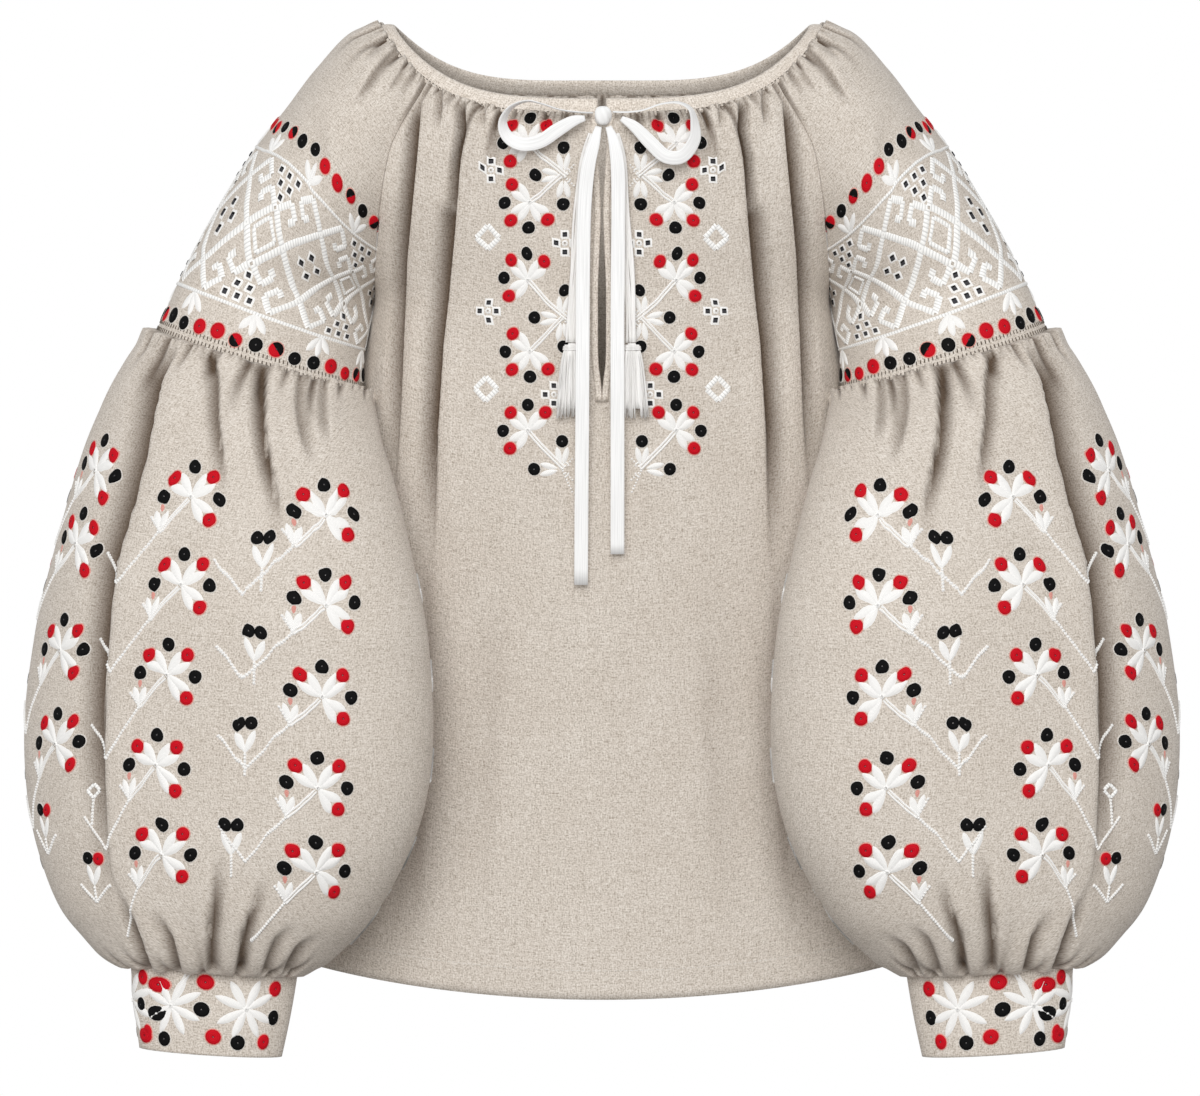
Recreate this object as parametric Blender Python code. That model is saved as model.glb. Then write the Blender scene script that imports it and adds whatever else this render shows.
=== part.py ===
"""Embroidered folk blouse in its worn form, hollow: metres, front to -Y, +X to the viewer's right, +Z up.
The origin is midway between the shoulder points, at the top edge of the neckband."""

import bpy
import numpy as np

for old in list(bpy.data.objects):
    bpy.data.objects.remove(old, do_unlink=True)

# Cloth and ribbon sizes
LINEN_WALL = 0.0013
FOLDED_WALL = 0.0022
SEAM_INSET = 0.00024
RIBBON_WIDTH = 0.009
RIBBON_WALL = 0.0010
BINDING_WIDTH = 0.0042
BINDING_LIFT = 0.0004
BINDING_WALL = 0.0012
CORD_WIDTH = 0.0066
CORD_DEPTH = 0.0022
RING_CELLS = 28
HALF_PANEL_CELLS = 12
BACK_CELLS = 16
BOXINESS = 0.85
LINEN_COLOUR = (0.56, 0.50, 0.43)
WHITE = (0.88, 0.87, 0.86)

# Neck: lower edge of the band, then how its top edge leans in
NECK_HALF_WIDTH = 0.146
NECK_HALF_DEPTH = 0.093
NECK_MIDDLE_Y = -0.005
NECK_TOP_HALF_WIDTH = 0.136
NECK_TOP_HALF_DEPTH = 0.090
NECK_FRONT_DROP = 0.0570
NECK_BACK_DROP = 0.0445
NECK_TOP_FRONT_DROP = 0.0464
NECK_TOP_BACK_DROP = 0.0352
NECK_SHOULDER_DROP = 0.0005

# Body rings from the neck down: centre height, edge height, edge x, edge y, centre y, half width of the slit
FRONT_ROWS = np.array((
    (-0.0570, -0.0364, 0.1135, -0.0635, -0.098, 0.0030),
    (-0.0680, -0.0545, 0.1254, -0.0700, -0.102, 0.0031),
    (-0.0800, -0.0700, 0.1340, -0.0760, -0.104, 0.0028),
    (-0.0940, -0.0840, 0.1390, -0.0790, -0.105, 0.0020),
    (-0.1180, -0.1090, 0.1435, -0.0770, -0.106, 0.0009),
    (-0.1420, -0.1340, 0.1465, -0.0640, -0.107, 0.0016),
    (-0.1660, -0.1610, 0.1490, -0.0400, -0.107, 0.0026),
    (-0.1890, -0.1850, 0.1505, 0.0, -0.108, 0.0027),
    (-0.2160, -0.2110, 0.1560, 0.0, -0.108, 0.0024),
    (-0.2423, -0.2360, 0.1640, 0.0, -0.109, 0.0),
    (-0.3000, -0.2920, 0.1790, 0.0, -0.109, 0.0),
    (-0.3600, -0.3500, 0.1880, 0.0, -0.109, 0.0),
    (-0.4300, -0.4170, 0.1970, 0.0, -0.109, 0.0),
    (-0.5000, -0.4830, 0.2050, 0.0, -0.109, 0.0),
    (-0.5700, -0.5490, 0.2120, 0.0, -0.109, 0.0),
    (-0.6313, -0.6080, 0.2160, 0.0, -0.109, 0.0),
))
BACK_ROWS = np.array((
    (-0.0445, -0.0285, 0.1135, 0.0535, 0.088, 0.0),
    (-0.0570, -0.0450, 0.1254, 0.0600, 0.092, 0.0),
    (-0.0710, -0.0620, 0.1340, 0.0660, 0.094, 0.0),
    (-0.0870, -0.0790, 0.1390, 0.0690, 0.095, 0.0),
    (-0.1140, -0.1070, 0.1435, 0.0680, 0.096, 0.0),
    (-0.1410, -0.1340, 0.1465, 0.0570, 0.096, 0.0),
    (-0.1655, -0.1610, 0.1490, 0.0360, 0.096, 0.0),
    (-0.1890, -0.1850, 0.1505, 0.0, 0.096, 0.0),
    (-0.2160, -0.2110, 0.1560, 0.0, 0.097, 0.0),
    (-0.2423, -0.2360, 0.1640, 0.0, 0.097, 0.0),
    (-0.3000, -0.2920, 0.1790, 0.0, 0.098, 0.0),
    (-0.3600, -0.3500, 0.1880, 0.0, 0.099, 0.0),
    (-0.4300, -0.4170, 0.1970, 0.0, 0.100, 0.0),
    (-0.5000, -0.4830, 0.2050, 0.0, 0.101, 0.0),
    (-0.5700, -0.5490, 0.2120, 0.0, 0.102, 0.0),
    (-0.6313, -0.6080, 0.2160, 0.0, 0.103, 0.0),
))
ARMPIT_ROW = 7
SLIT_END_ROW = 9

# Shoulder sections down to the armpit: outer x, y, z, depth radius, arc half angle in degrees
SHOULDER_ROWS = np.array((
    (0.1460, 0.0000, -0.0005, 0.070, 90.0),
    (0.1660, 0.0000, -0.0065, 0.074, 94.0),
    (0.1880, -0.0010, -0.0270, 0.080, 102.0),
    (0.2070, -0.0040, -0.0520, 0.083, 108.0),
    (0.2290, -0.0140, -0.0810, 0.083, 118.0),
    (0.2450, -0.0230, -0.1070, 0.079, 130.0),
    (0.2600, -0.0330, -0.1330, 0.072, 146.0),
    (0.2745, -0.0420, -0.1610, 0.065, 180.0),
))
# Closed arm sections: outer x, y, z, inner x, y, z, depth radius
ARM_ROWS = np.array((
    (0.2830, -0.0490, -0.1800, 0.1558, -0.0350, -0.2130, 0.059),
    (0.2910, -0.0550, -0.1978, 0.1550, -0.0560, -0.2390, 0.055),
))
# Balloon sections from the gathered seam to the cuff: outer x, y, z, inner x, y, z, depth radius, fold depth
BALLOON_ROWS = np.array((
    (0.2910, -0.0550, -0.1978, 0.1550, -0.0560, -0.2390, 0.055, 0.0),
    (0.3100, -0.0570, -0.2213, 0.1500, -0.0780, -0.2506, 0.061, 0.0030),
    (0.3259, -0.0620, -0.2465, 0.1434, -0.1020, -0.2678, 0.066, 0.0045),
    (0.3406, -0.0680, -0.2822, 0.1319, -0.1220, -0.3025, 0.070, 0.0045),
    (0.3628, -0.0790, -0.3632, 0.1146, -0.1460, -0.3768, 0.074, 0.0030),
    (0.3711, -0.0820, -0.4053, 0.1100, -0.1500, -0.4177, 0.075, 0.0022),
    (0.3761, -0.0850, -0.4507, 0.1087, -0.1520, -0.4600, 0.075, 0.0020),
    (0.3745, -0.0900, -0.4958, 0.1139, -0.1520, -0.5012, 0.074, 0.0025),
    (0.3669, -0.0970, -0.5342, 0.1268, -0.1500, -0.5374, 0.070, 0.0035),
    (0.3514, -0.1060, -0.5723, 0.1481, -0.1460, -0.5745, 0.060, 0.0045),
    (0.3282, -0.1160, -0.5960, 0.1702, -0.1400, -0.5976, 0.044, 0.0035),
    (0.3054, -0.1250, -0.6055, 0.1966, -0.1330, -0.6102, 0.027, 0.0),
))
CUFF_ROWS = np.array((
    (0.3054, -0.1250, -0.6055, 0.1966, -0.1330, -0.6102, 0.027),
    (0.2997, -0.1290, -0.6600, 0.2071, -0.1350, -0.6652, 0.024),
))
# Balloon folds round the ring: place from -1 (inner edge, by the front) to 1, half width, depth share
BALLOON_FOLDS = (
    (-0.81, 0.075, 1.0),
    (-0.62, 0.075, 0.8),
    (-0.44, 0.075, 1.2),
    (-0.25, 0.075, 0.7),
    (-0.06, 0.075, 0.9),
    (0.12, 0.075, 1.0),
    (0.31, 0.075, 0.8),
    (0.50, 0.075, 1.1),
    (0.69, 0.075, 0.8),
    (0.88, 0.075, 0.9),
)
# Long soft pleats of the front and back, each side: top x, top z, low x, low z, depth, half width
PLEATS = (
    (0.088, -0.052, 0.112, -0.185, 0.0045, 0.011),
    (0.060, -0.058, 0.068, -0.130, 0.0020, 0.010),
    (0.112, -0.060, 0.132, -0.160, 0.0025, 0.010),
)

# Loop paths: x, y, z, turn of the width in degrees (0 lies along Y, 90 in the front plane), width share
LOOP_L = (
    (-0.0064, -0.1085, -0.0555, 0, 0.5), (-0.0140, -0.1110, -0.0552, 0, 0.8),
    (-0.0270, -0.1130, -0.0535, 0, 1), (-0.0395, -0.1135, -0.0495, 0, 1),
    (-0.0490, -0.1135, -0.0480, 5, 1), (-0.0590, -0.1130, -0.0523, 15, 1),
    (-0.0640, -0.1125, -0.0612, 35, 1), (-0.0612, -0.1130, -0.0705, 60, 1),
    (-0.0520, -0.1135, -0.0757, 80, 1), (-0.0400, -0.1140, -0.0740, 90, 1),
    (-0.0290, -0.1145, -0.0668, 90, 1), (-0.0190, -0.1145, -0.0610, 90, 0.8),
    (-0.0110, -0.1135, -0.0590, 90, 0.4),
)
LOOP_R = (
    (0.0076, -0.1085, -0.0550, 0, 0.5), (0.0150, -0.1110, -0.0552, 0, 0.8),
    (0.0260, -0.1130, -0.0540, 0, 1), (0.0380, -0.1135, -0.0500, 0, 1),
    (0.0490, -0.1135, -0.0490, 5, 1), (0.0570, -0.1130, -0.0530, 15, 1),
    (0.0600, -0.1125, -0.0620, 35, 1), (0.0598, -0.1130, -0.0730, 60, 1),
    (0.0520, -0.1135, -0.0835, 80, 1), (0.0410, -0.1140, -0.0835, 90, 1),
    (0.0310, -0.1145, -0.0745, 90, 1), (0.0210, -0.1145, -0.0645, 90, 0.8),
    (0.0125, -0.1135, -0.0592, 90, 0.4),
)
# Hanging paths from the knot down: x, y, z, width share
TAIL_L = (
    (-0.0022, -0.1120, -0.0645, 0.45), (-0.0050, -0.1150, -0.0750, 0.8), (-0.0092, -0.1165, -0.0920, 1),
    (-0.0115, -0.1165, -0.1200, 1), (-0.0123, -0.1170, -0.1600, 1), (-0.0125, -0.1185, -0.2000, 1),
    (-0.0128, -0.1190, -0.2550, 1), (-0.0132, -0.1160, -0.3000, 1), (-0.0136, -0.1135, -0.3610, 1),
)
TAIL_R = (
    (0.0042, -0.1120, -0.0645, 0.45), (0.0078, -0.1150, -0.0750, 0.8), (0.0102, -0.1165, -0.0920, 1),
    (0.0105, -0.1165, -0.1200, 1), (0.0102, -0.1170, -0.1600, 1), (0.0100, -0.1185, -0.2000, 1),
    (0.0100, -0.1190, -0.2550, 1), (0.0100, -0.1160, -0.3000, 1), (0.0100, -0.1135, -0.3410, 1),
)
CORD_L = (
    (-0.0068, -0.1100, -0.0690, 0.5), (-0.0105, -0.1100, -0.0820, 0.8), (-0.0128, -0.1105, -0.0990, 1),
    (-0.0160, -0.1110, -0.1400, 1), (-0.0185, -0.1115, -0.1770, 1), (-0.0195, -0.1120, -0.2040, 1),
)
CORD_R = (
    (0.0088, -0.1100, -0.0690, 0.5), (0.0115, -0.1100, -0.0820, 0.8), (0.0132, -0.1105, -0.0990, 1),
    (0.0158, -0.1110, -0.1400, 1), (0.0180, -0.1115, -0.1770, 1), (0.0190, -0.1120, -0.2040, 1),
)
# Tassel rings, from the cord down: x, z, half width, half depth
TASSEL_RINGS = (
    (0.0193, -0.2044, 0.0030, 0.0020),
    (0.0194, -0.2066, 0.0052, 0.0027),
    (0.0196, -0.2180, 0.0073, 0.0029),
    (0.0199, -0.2340, 0.0090, 0.0029),
    (0.0202, -0.2526, 0.0105, 0.0027),
)
TASSEL_Y = -0.1135
KNOT_CENTRE = (0.0006, -0.1060, -0.0575)
KNOT_HALF_SIZE = (0.0060, 0.0046, 0.0060)


def neck_edge(angle, top=False):
    """The neckband's lower or top edge; angle 0 is the front centre, a right angle the +X shoulder."""
    half_width = NECK_TOP_HALF_WIDTH if top else NECK_HALF_WIDTH
    half_depth = NECK_TOP_HALF_DEPTH if top else NECK_HALF_DEPTH
    front_drop = NECK_TOP_FRONT_DROP if top else NECK_FRONT_DROP
    back_drop = NECK_TOP_BACK_DROP if top else NECK_BACK_DROP
    middle = (front_drop + back_drop) / 2
    drop = middle + (front_drop - back_drop) / 2 * np.cos(angle)
    rise = middle if top else middle - NECK_SHOULDER_DROP
    x = half_width * np.sin(angle)
    y = NECK_MIDDLE_Y - half_depth * np.cos(angle)
    return np.stack([x, y, rise * np.sin(angle) ** 4 - drop], axis=-1)


def bump(distance):
    """A soft rise of 1 at distance 0, down to 0 at distance 1."""
    near = np.clip(1 - np.abs(distance), 0, 1)
    return near * near * (3 - 2 * near)


def panel_half(rows, first_x, columns, binding):
    """Points from the centre line out to the +X edge of the body, row by row."""
    out = []
    for number, row in enumerate(rows):
        centre_z, edge_z, edge_x, edge_y, centre_y, _ = row
        edge = np.arccos(np.clip(edge_y / centre_y, 0, 1) ** (1 / BOXINESS))
        starts = [first_x[number], first_x[number] + binding] if binding else [first_x[number]]
        angles = np.arcsin(np.array(starts) * np.sin(edge) / edge_x)
        rest = np.linspace(angles[-1], edge, columns + 2 - len(starts))[1:]
        angles = np.concatenate([angles, rest])
        x = edge_x * np.sin(angles) / np.sin(edge)
        y = centre_y * np.clip(np.cos(angles), 0, 1) ** BOXINESS
        z = centre_z + (edge_z - centre_z) * (x / edge_x) ** (4 if number == 0 else 2)
        points = np.stack([x, y, z], axis=-1)
        if number == 0:
            turn = np.arcsin(x / NECK_HALF_WIDTH)
            points = neck_edge(turn if centre_y < 0 else np.pi - turn)
        inward = -np.sign(centre_y)
        for top_x, top_z, low_x, low_z, depth, half_width in PLEATS:
            along = (points[:, 2] - top_z) / (low_z - top_z)
            line = top_x + (low_x - top_x) * np.clip(along, 0, 1)
            strength = np.clip(along / 0.15, 0, 1) * np.clip((1.5 - along) / 0.8, 0, 1)
            strength *= np.clip((edge_x - points[:, 0]) / 0.008, 0, 1)
            wide = half_width * (1 + 0.8 * np.clip(along, 0, 1))
            points[:, 1] += inward * depth * strength * bump((points[:, 0] - line) / wide)
        gather = np.clip(1 - (centre_z + 0.0640) / -0.045, 0, 1) * (number > 0)
        ripple = np.where(np.arange(len(x)) % 2 == 0, 1.0, -1.0) * (np.arange(len(x)) > 2)
        ripple[-1] = 0
        points[:, 1] += 0.0011 * gather * ripple
        out.append(points)
    return np.array(out)


def panel(rows, columns, binding):
    """The whole panel from its -X edge to its +X edge, seen from outside left to right."""
    right = panel_half(rows, rows[:, 5], columns, binding)
    left = right * (-1, 1, 1)
    if binding:
        return np.concatenate([left[:, ::-1], right], axis=1)
    return np.concatenate([right[:, :0:-1], left], axis=1)


def ring(outer, inner_front, inner_back, depth, half_angle, ways):
    """An arc from the inner front point round the outer point to the inner back point."""
    turn = np.abs(ways) * half_angle
    share = (1 - np.cos(turn)) / (1 - np.cos(half_angle))
    ends = np.where((ways < 0)[:, None], inner_front, inner_back)
    side = np.where(ways < 0, -1.0, 1.0)
    points = outer + (ends - outer) * share[:, None]
    points[:, 1] += side * depth * (np.sin(turn) - np.sin(half_angle) * share)
    return points


def sleeve_top():
    """The shoulder sections, open to the body down to the armpit, then the closed arm."""
    ways = np.linspace(-1, 1, RING_CELLS + 1)
    front_turn = np.arcsin(FRONT_ROWS[0, 2] / NECK_HALF_WIDTH)
    sections = [neck_edge(np.linspace(front_turn, np.pi - front_turn, RING_CELLS + 1))]
    for number in range(1, ARMPIT_ROW + 1):
        outer = SHOULDER_ROWS[number, :3]
        front = FRONT_ROWS[number, [2, 3, 1]]
        back = BACK_ROWS[number, [2, 3, 1]]
        depth, degrees = SHOULDER_ROWS[number, 3:]
        points = ring(outer, front, back, depth, np.radians(degrees), ways)
        gather = 0.0014 * np.clip(1 - (number - 1) / 3, 0, 1)
        ripple = np.where(np.arange(len(ways)) % 2 == 0, 1.0, -1.0)
        ripple[[0, -1]] = 0
        swell = points - points.mean(axis=0)
        swell /= np.linalg.norm(swell, axis=1)[:, None]
        sections.append(points + swell * (gather * ripple)[:, None])
    for row in ARM_ROWS:
        sections.append(ring(row[:3], row[3:6], row[3:6], row[6], np.pi, ways))
    return np.array(sections)


def tube(rows, folds=()):
    """Closed sections of a sleeve piece, with its folds pressed in."""
    ways = np.linspace(-1, 1, RING_CELLS + 1)
    sections = []
    for row in rows:
        points = ring(row[:3], row[3:6], row[3:6], row[6], np.pi, ways)
        middle = (row[:3] + row[3:6]) / 2
        arms = points - middle
        reach = np.linalg.norm(arms, axis=1)
        press = np.zeros(len(ways))
        for place, half_width, share in folds:
            gap = (ways - place + 1) % 2 - 1
            press += row[7] * (share * bump(gap / half_width) - 0.35 * bump((np.abs(gap) - 0.095) / 0.05))
        sections.append(middle + arms * (1 - press / reach)[:, None])
    return np.array(sections)


def mirrored(grid):
    """The same piece on the -X side, still running left to right seen from outside."""
    return (grid * (-1, 1, 1))[:, ::-1]


def key(point):
    return tuple(np.round(point, 6) + 0.0)


def own_normals(grid):
    """The outward direction at every point of one piece."""
    totals = {}
    down = grid[1:] - grid[:-1]
    along = grid[:, 1:] - grid[:, :-1]
    for i in range(len(grid) - 1):
        for j in range(grid.shape[1] - 1):
            face = np.cross(down[i, j] + down[i, j + 1], along[i, j] + along[i + 1, j])
            for corner in (grid[i, j], grid[i + 1, j], grid[i, j + 1], grid[i + 1, j + 1]):
                totals[key(corner)] = totals.get(key(corner), 0) + face
    return {spot: total / np.linalg.norm(total) for spot, total in totals.items()}


def shared_normals(grids):
    """One outward direction for every seam point, the same for all the pieces that meet there."""
    totals = {}
    for grid in grids:
        for spot, direction in own_normals(grid).items():
            totals[spot] = totals.get(spot, 0) + direction
    return {spot: total / max(np.linalg.norm(total), 1e-9) for spot, total in totals.items()}


def wall_directions(grid, shared):
    """The shared direction where pieces meet nearly flat, the piece's own in a sharp valley."""
    own = own_normals(grid)
    out = np.empty_like(grid)
    for i in range(len(grid)):
        for j in range(grid.shape[1]):
            spot = key(grid[i, j])
            flat = np.dot(own[spot], shared[spot]) > 0.9
            out[i, j] = shared[spot] if flat else own[spot]
    return out


def nudge(points, toward):
    step = toward - points
    return points + SEAM_INSET * step / np.linalg.norm(step, axis=-1, keepdims=True)


def inset(grid, side_rows):
    """Stops the piece short of its seams: its first and last rows, and both sides of the rows given."""
    out = grid.copy()
    out[0] = nudge(grid[0], grid[1])
    out[-1] = nudge(grid[-1], grid[-2])
    out[side_rows, 0] = nudge(out[side_rows, 0], out[side_rows, 1])
    out[side_rows, -1] = nudge(out[side_rows, -1], out[side_rows, -2])
    return out


def solid(name, outer, inner, material, skip=None):
    """A closed body between two grids of points; points that coincide are one, free edges get a wall."""
    spots = {}
    points = []

    def number(point, layer):
        spot = (key(point), layer)
        if spot not in spots:
            spots[spot] = len(points)
            points.append(tuple(point))
        return spots[spot]

    rows, columns = outer.shape[:2]
    top = [[number(outer[i, j], 0) for j in range(columns)] for i in range(rows)]
    deep = {}
    for i in range(rows):
        for j in range(columns):
            if top[i][j] not in deep:
                deep[top[i][j]] = len(points)
                points.append(tuple(inner[i, j]))
    faces = []
    for i in range(rows - 1):
        for j in range(columns - 1):
            if j == skip:
                continue
            faces.append((top[i][j], top[i + 1][j], top[i + 1][j + 1]))
            faces.append((top[i][j], top[i + 1][j + 1], top[i][j + 1]))
    edges = {}
    for face in faces:
        for a, b in zip(face, face[1:] + face[:1]):
            edges[(a, b)] = True
    walls = [(b, a, deep[a], deep[b]) for a, b in edges if (b, a) not in edges]
    faces += [tuple(deep[spot] for spot in reversed(face)) for face in list(faces)]
    return add_mesh(name, points, faces + walls, material)


def add_mesh(name, points, faces, material):
    spots = np.array(points)
    volume = 0.0
    for face in faces:
        for second, third in zip(face[1:], face[2:]):
            volume += np.dot(spots[face[0]], np.cross(spots[second], spots[third]))
    if volume < 0:
        faces = [tuple(reversed(face)) for face in faces]
    mesh = bpy.data.meshes.new(name)
    mesh.from_pydata([tuple(map(float, point)) for point in points], [], faces)
    mesh.materials.append(material)
    mesh.validate()
    mesh.update()
    made = bpy.data.objects.new(name, mesh)
    bpy.context.scene.collection.objects.link(made)
    return made


def cloth_material(name, colour, roughness):
    material = bpy.data.materials.new(name)
    material.use_nodes = True
    shader = material.node_tree.nodes["Principled BSDF"]
    shader.inputs["Base Color"].default_value = (*colour, 1)
    shader.inputs["Roughness"].default_value = roughness
    return material


def cloth(name, grid, normals, wall, side_rows, skip=None, closed_from=None):
    """One cloth piece: its outer grid stopped short of the seams, and the same moved in by the wall."""
    directions = wall_directions(grid, normals)
    outer = inset(grid, side_rows)
    if skip is not None:
        for i in range(SLIT_END_ROW):
            outer[i, skip] = nudge(outer[i, skip], outer[i, skip - 1])
            outer[i, skip + 1] = nudge(outer[i, skip + 1], outer[i, skip + 2])
    if closed_from is not None:
        pulled = nudge(grid[closed_from, 0], grid[closed_from + 1, 0])
        outer[closed_from, 0] = pulled
        outer[closed_from, -1] = pulled
    material = cloth_material(name + "_linen", LINEN_COLOUR, 0.9)
    return outer, solid(name, outer, outer - directions * wall, material, skip)


def strip(name, path, turns, width, wall, material):
    """A flat band swept along a path, its width turned between the depth direction and the front plane."""
    width = width * np.array(path)[:, -1:]
    path = np.array(path)[:, :3]
    ahead = np.gradient(path, axis=0)
    ahead /= np.linalg.norm(ahead, axis=1)[:, None]
    in_plane = np.cross(ahead, (0, 1, 0))
    in_plane /= np.linalg.norm(in_plane, axis=1)[:, None]
    turns = np.radians(turns)[:, None]
    across = np.cos(turns) * np.array((0, 1, 0)) + np.sin(turns) * in_plane
    through = np.cross(ahead, across)
    through /= np.linalg.norm(through, axis=1)[:, None]
    outer = np.stack([path - across * width / 2, path + across * width / 2], axis=1)
    lift = through[:, None] * wall / 2
    return solid(name, outer - lift, outer + lift, material)


def stacked(name, rings, material):
    """A closed body from rings of points, capped at both ends."""
    points = np.concatenate(rings)
    count = len(rings[0])
    faces = []
    for i in range(len(rings) - 1):
        for j in range(count):
            k = (j + 1) % count
            faces.append((i * count + j, (i + 1) * count + j, (i + 1) * count + k, i * count + k))
    last = (len(rings) - 1) * count
    faces.append(tuple(range(count)))
    faces.append(tuple(last + j for j in reversed(range(count))))
    return add_mesh(name, points, faces, material)


# Cloth grids
front = panel(FRONT_ROWS, HALF_PANEL_CELLS, BINDING_WIDTH)
back = panel(BACK_ROWS, BACK_CELLS // 2, 0)
arm_r = sleeve_top()
arm_l = mirrored(arm_r)
balloon_r = tube(BALLOON_ROWS, BALLOON_FOLDS)
balloon_l = mirrored(balloon_r)
cuff_r = tube(CUFF_ROWS)
cuff_l = mirrored(cuff_r)

# The band follows the top row of every piece it gathers
middle = HALF_PANEL_CELLS
edges = [front[0, middle + 1:], arm_r[0, 1:], back[0, 1:], arm_l[0, 1:], front[0, 1:middle + 1]]
lower = np.concatenate(edges)
turns = np.unwrap(np.arctan2(lower[:, 0] / NECK_HALF_WIDTH, (NECK_MIDDLE_Y - lower[:, 1]) / NECK_HALF_DEPTH))
band = np.stack([neck_edge(turns, top=True), lower])

grids = (front, back, arm_r, arm_l, balloon_r, balloon_l, cuff_r, cuff_l, band)
NORMALS = shared_normals(grids)

body_sides = np.arange(len(FRONT_ROWS))
open_sides = np.arange(ARMPIT_ROW)
no_sides = np.arange(0)
front_outer, _ = cloth("front_panel", front, NORMALS, LINEN_WALL, body_sides, skip=middle)
cloth("back_panel", back, NORMALS, LINEN_WALL, body_sides)
for side, arm, balloon, cuff in (("r", arm_r, balloon_r, cuff_r), ("l", arm_l, balloon_l, cuff_l)):
    cloth("sleeve_top_" + side, arm, NORMALS, LINEN_WALL, open_sides, closed_from=ARMPIT_ROW)
    cloth("balloon_" + side, balloon, NORMALS, LINEN_WALL, no_sides)
    cloth("cuff_" + side, cuff, NORMALS, FOLDED_WALL, no_sides)
cloth("neckband", band, NORMALS, FOLDED_WALL, np.arange(2))

# The bindings lie on the panel's own points, moved out
for side, columns in (("l", (middle - 1, middle)), ("r", (middle + 1, middle + 2))):
    base = front_outer[:SLIT_END_ROW + 1, columns]
    ways = np.array([[NORMALS[key(point)] for point in row] for row in front[:SLIT_END_ROW + 1, columns]])
    near, far = (1, 0) if side == "l" else (0, 1)
    base[-1, near] = nudge(base[-1, near], base[-1, far])
    binding_cloth = cloth_material("binding_" + side + "_linen", LINEN_COLOUR, 0.85)
    low = base + ways * BINDING_LIFT
    solid("slit_binding_" + side, low + ways * BINDING_WALL, low, binding_cloth)

# Bow, tails, cords and tassels
for name, path in (("bow_loop_l", LOOP_L), ("bow_loop_r", LOOP_R)):
    turns = np.array(path)[:, 3]
    strip(name, path, turns, RIBBON_WIDTH, RIBBON_WALL, cloth_material(name + "_ribbon", WHITE, 0.5))
for name, path in (("ribbon_tail_l", TAIL_L), ("ribbon_tail_r", TAIL_R)):
    turns = np.full(len(path), 90.0)
    strip(name, path, turns, RIBBON_WIDTH, RIBBON_WALL, cloth_material(name + "_ribbon", WHITE, 0.5))
for name, path in (("tassel_cord_l", CORD_L), ("tassel_cord_r", CORD_R)):
    turns = np.full(len(path), 90.0)
    strip(name, path, turns, CORD_WIDTH, CORD_DEPTH, cloth_material(name + "_yarn", WHITE, 0.8))
around = np.linspace(0, 2 * np.pi, 12, endpoint=False)
for name, side in (("tassel_l", -1), ("tassel_r", 1)):
    rings = []
    for x, z, half_width, half_depth in TASSEL_RINGS:
        ring_x = side * x + half_width * np.cos(around)
        ring_y = TASSEL_Y + half_depth * np.sin(around)
        rings.append(np.stack([ring_x, ring_y, np.full(12, z)], axis=-1))
    stacked(name, rings, cloth_material(name + "_yarn", WHITE, 0.8))
rings = []
for tilt in np.radians((-80, -50, -15, 20, 50, 80)):
    ring_x = KNOT_CENTRE[0] + KNOT_HALF_SIZE[0] * np.cos(tilt) * np.cos(around)
    ring_y = KNOT_CENTRE[1] + KNOT_HALF_SIZE[1] * np.cos(tilt) * np.sin(around)
    ring_z = np.full(12, KNOT_CENTRE[2] + KNOT_HALF_SIZE[2] * np.sin(tilt))
    rings.append(np.stack([ring_x, ring_y, ring_z], axis=-1))
stacked("bow_knot", rings[::-1], cloth_material("bow_knot_ribbon", WHITE, 0.5))
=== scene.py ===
"""The looks of the embroidered blouse: cloth with its folds, stitches, embroidery, bow and tassels.
Metres, front to -Y, +X to the viewer's right, +Z up, as in the frame."""

import bpy
import numpy as np
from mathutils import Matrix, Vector


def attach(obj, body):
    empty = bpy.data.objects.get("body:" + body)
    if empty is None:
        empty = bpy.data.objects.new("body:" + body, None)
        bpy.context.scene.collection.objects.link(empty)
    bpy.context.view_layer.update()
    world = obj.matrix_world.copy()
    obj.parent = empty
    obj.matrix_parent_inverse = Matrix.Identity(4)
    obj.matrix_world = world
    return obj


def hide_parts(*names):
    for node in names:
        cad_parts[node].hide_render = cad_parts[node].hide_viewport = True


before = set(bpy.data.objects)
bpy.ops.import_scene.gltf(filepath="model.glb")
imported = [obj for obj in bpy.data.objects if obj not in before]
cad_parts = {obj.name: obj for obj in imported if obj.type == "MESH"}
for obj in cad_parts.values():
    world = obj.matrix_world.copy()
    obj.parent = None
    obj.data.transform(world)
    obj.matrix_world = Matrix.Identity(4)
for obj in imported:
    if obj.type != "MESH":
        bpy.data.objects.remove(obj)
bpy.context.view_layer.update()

# Cloth and ribbon sizes
RIBBON_WIDTH = 0.009
RIBBON_WALL = 0.0010
BINDING_WIDTH = 0.0042
BOXINESS = 0.85

# Neck: lower edge of the band, then how its top edge leans in
NECK_HALF_WIDTH = 0.146
NECK_HALF_DEPTH = 0.093
NECK_MIDDLE_Y = -0.005
NECK_TOP_HALF_WIDTH = 0.136
NECK_TOP_HALF_DEPTH = 0.090
NECK_FRONT_DROP = 0.0570
NECK_BACK_DROP = 0.0445
NECK_TOP_FRONT_DROP = 0.0464
NECK_TOP_BACK_DROP = 0.0352
NECK_SHOULDER_DROP = 0.0005

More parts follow.
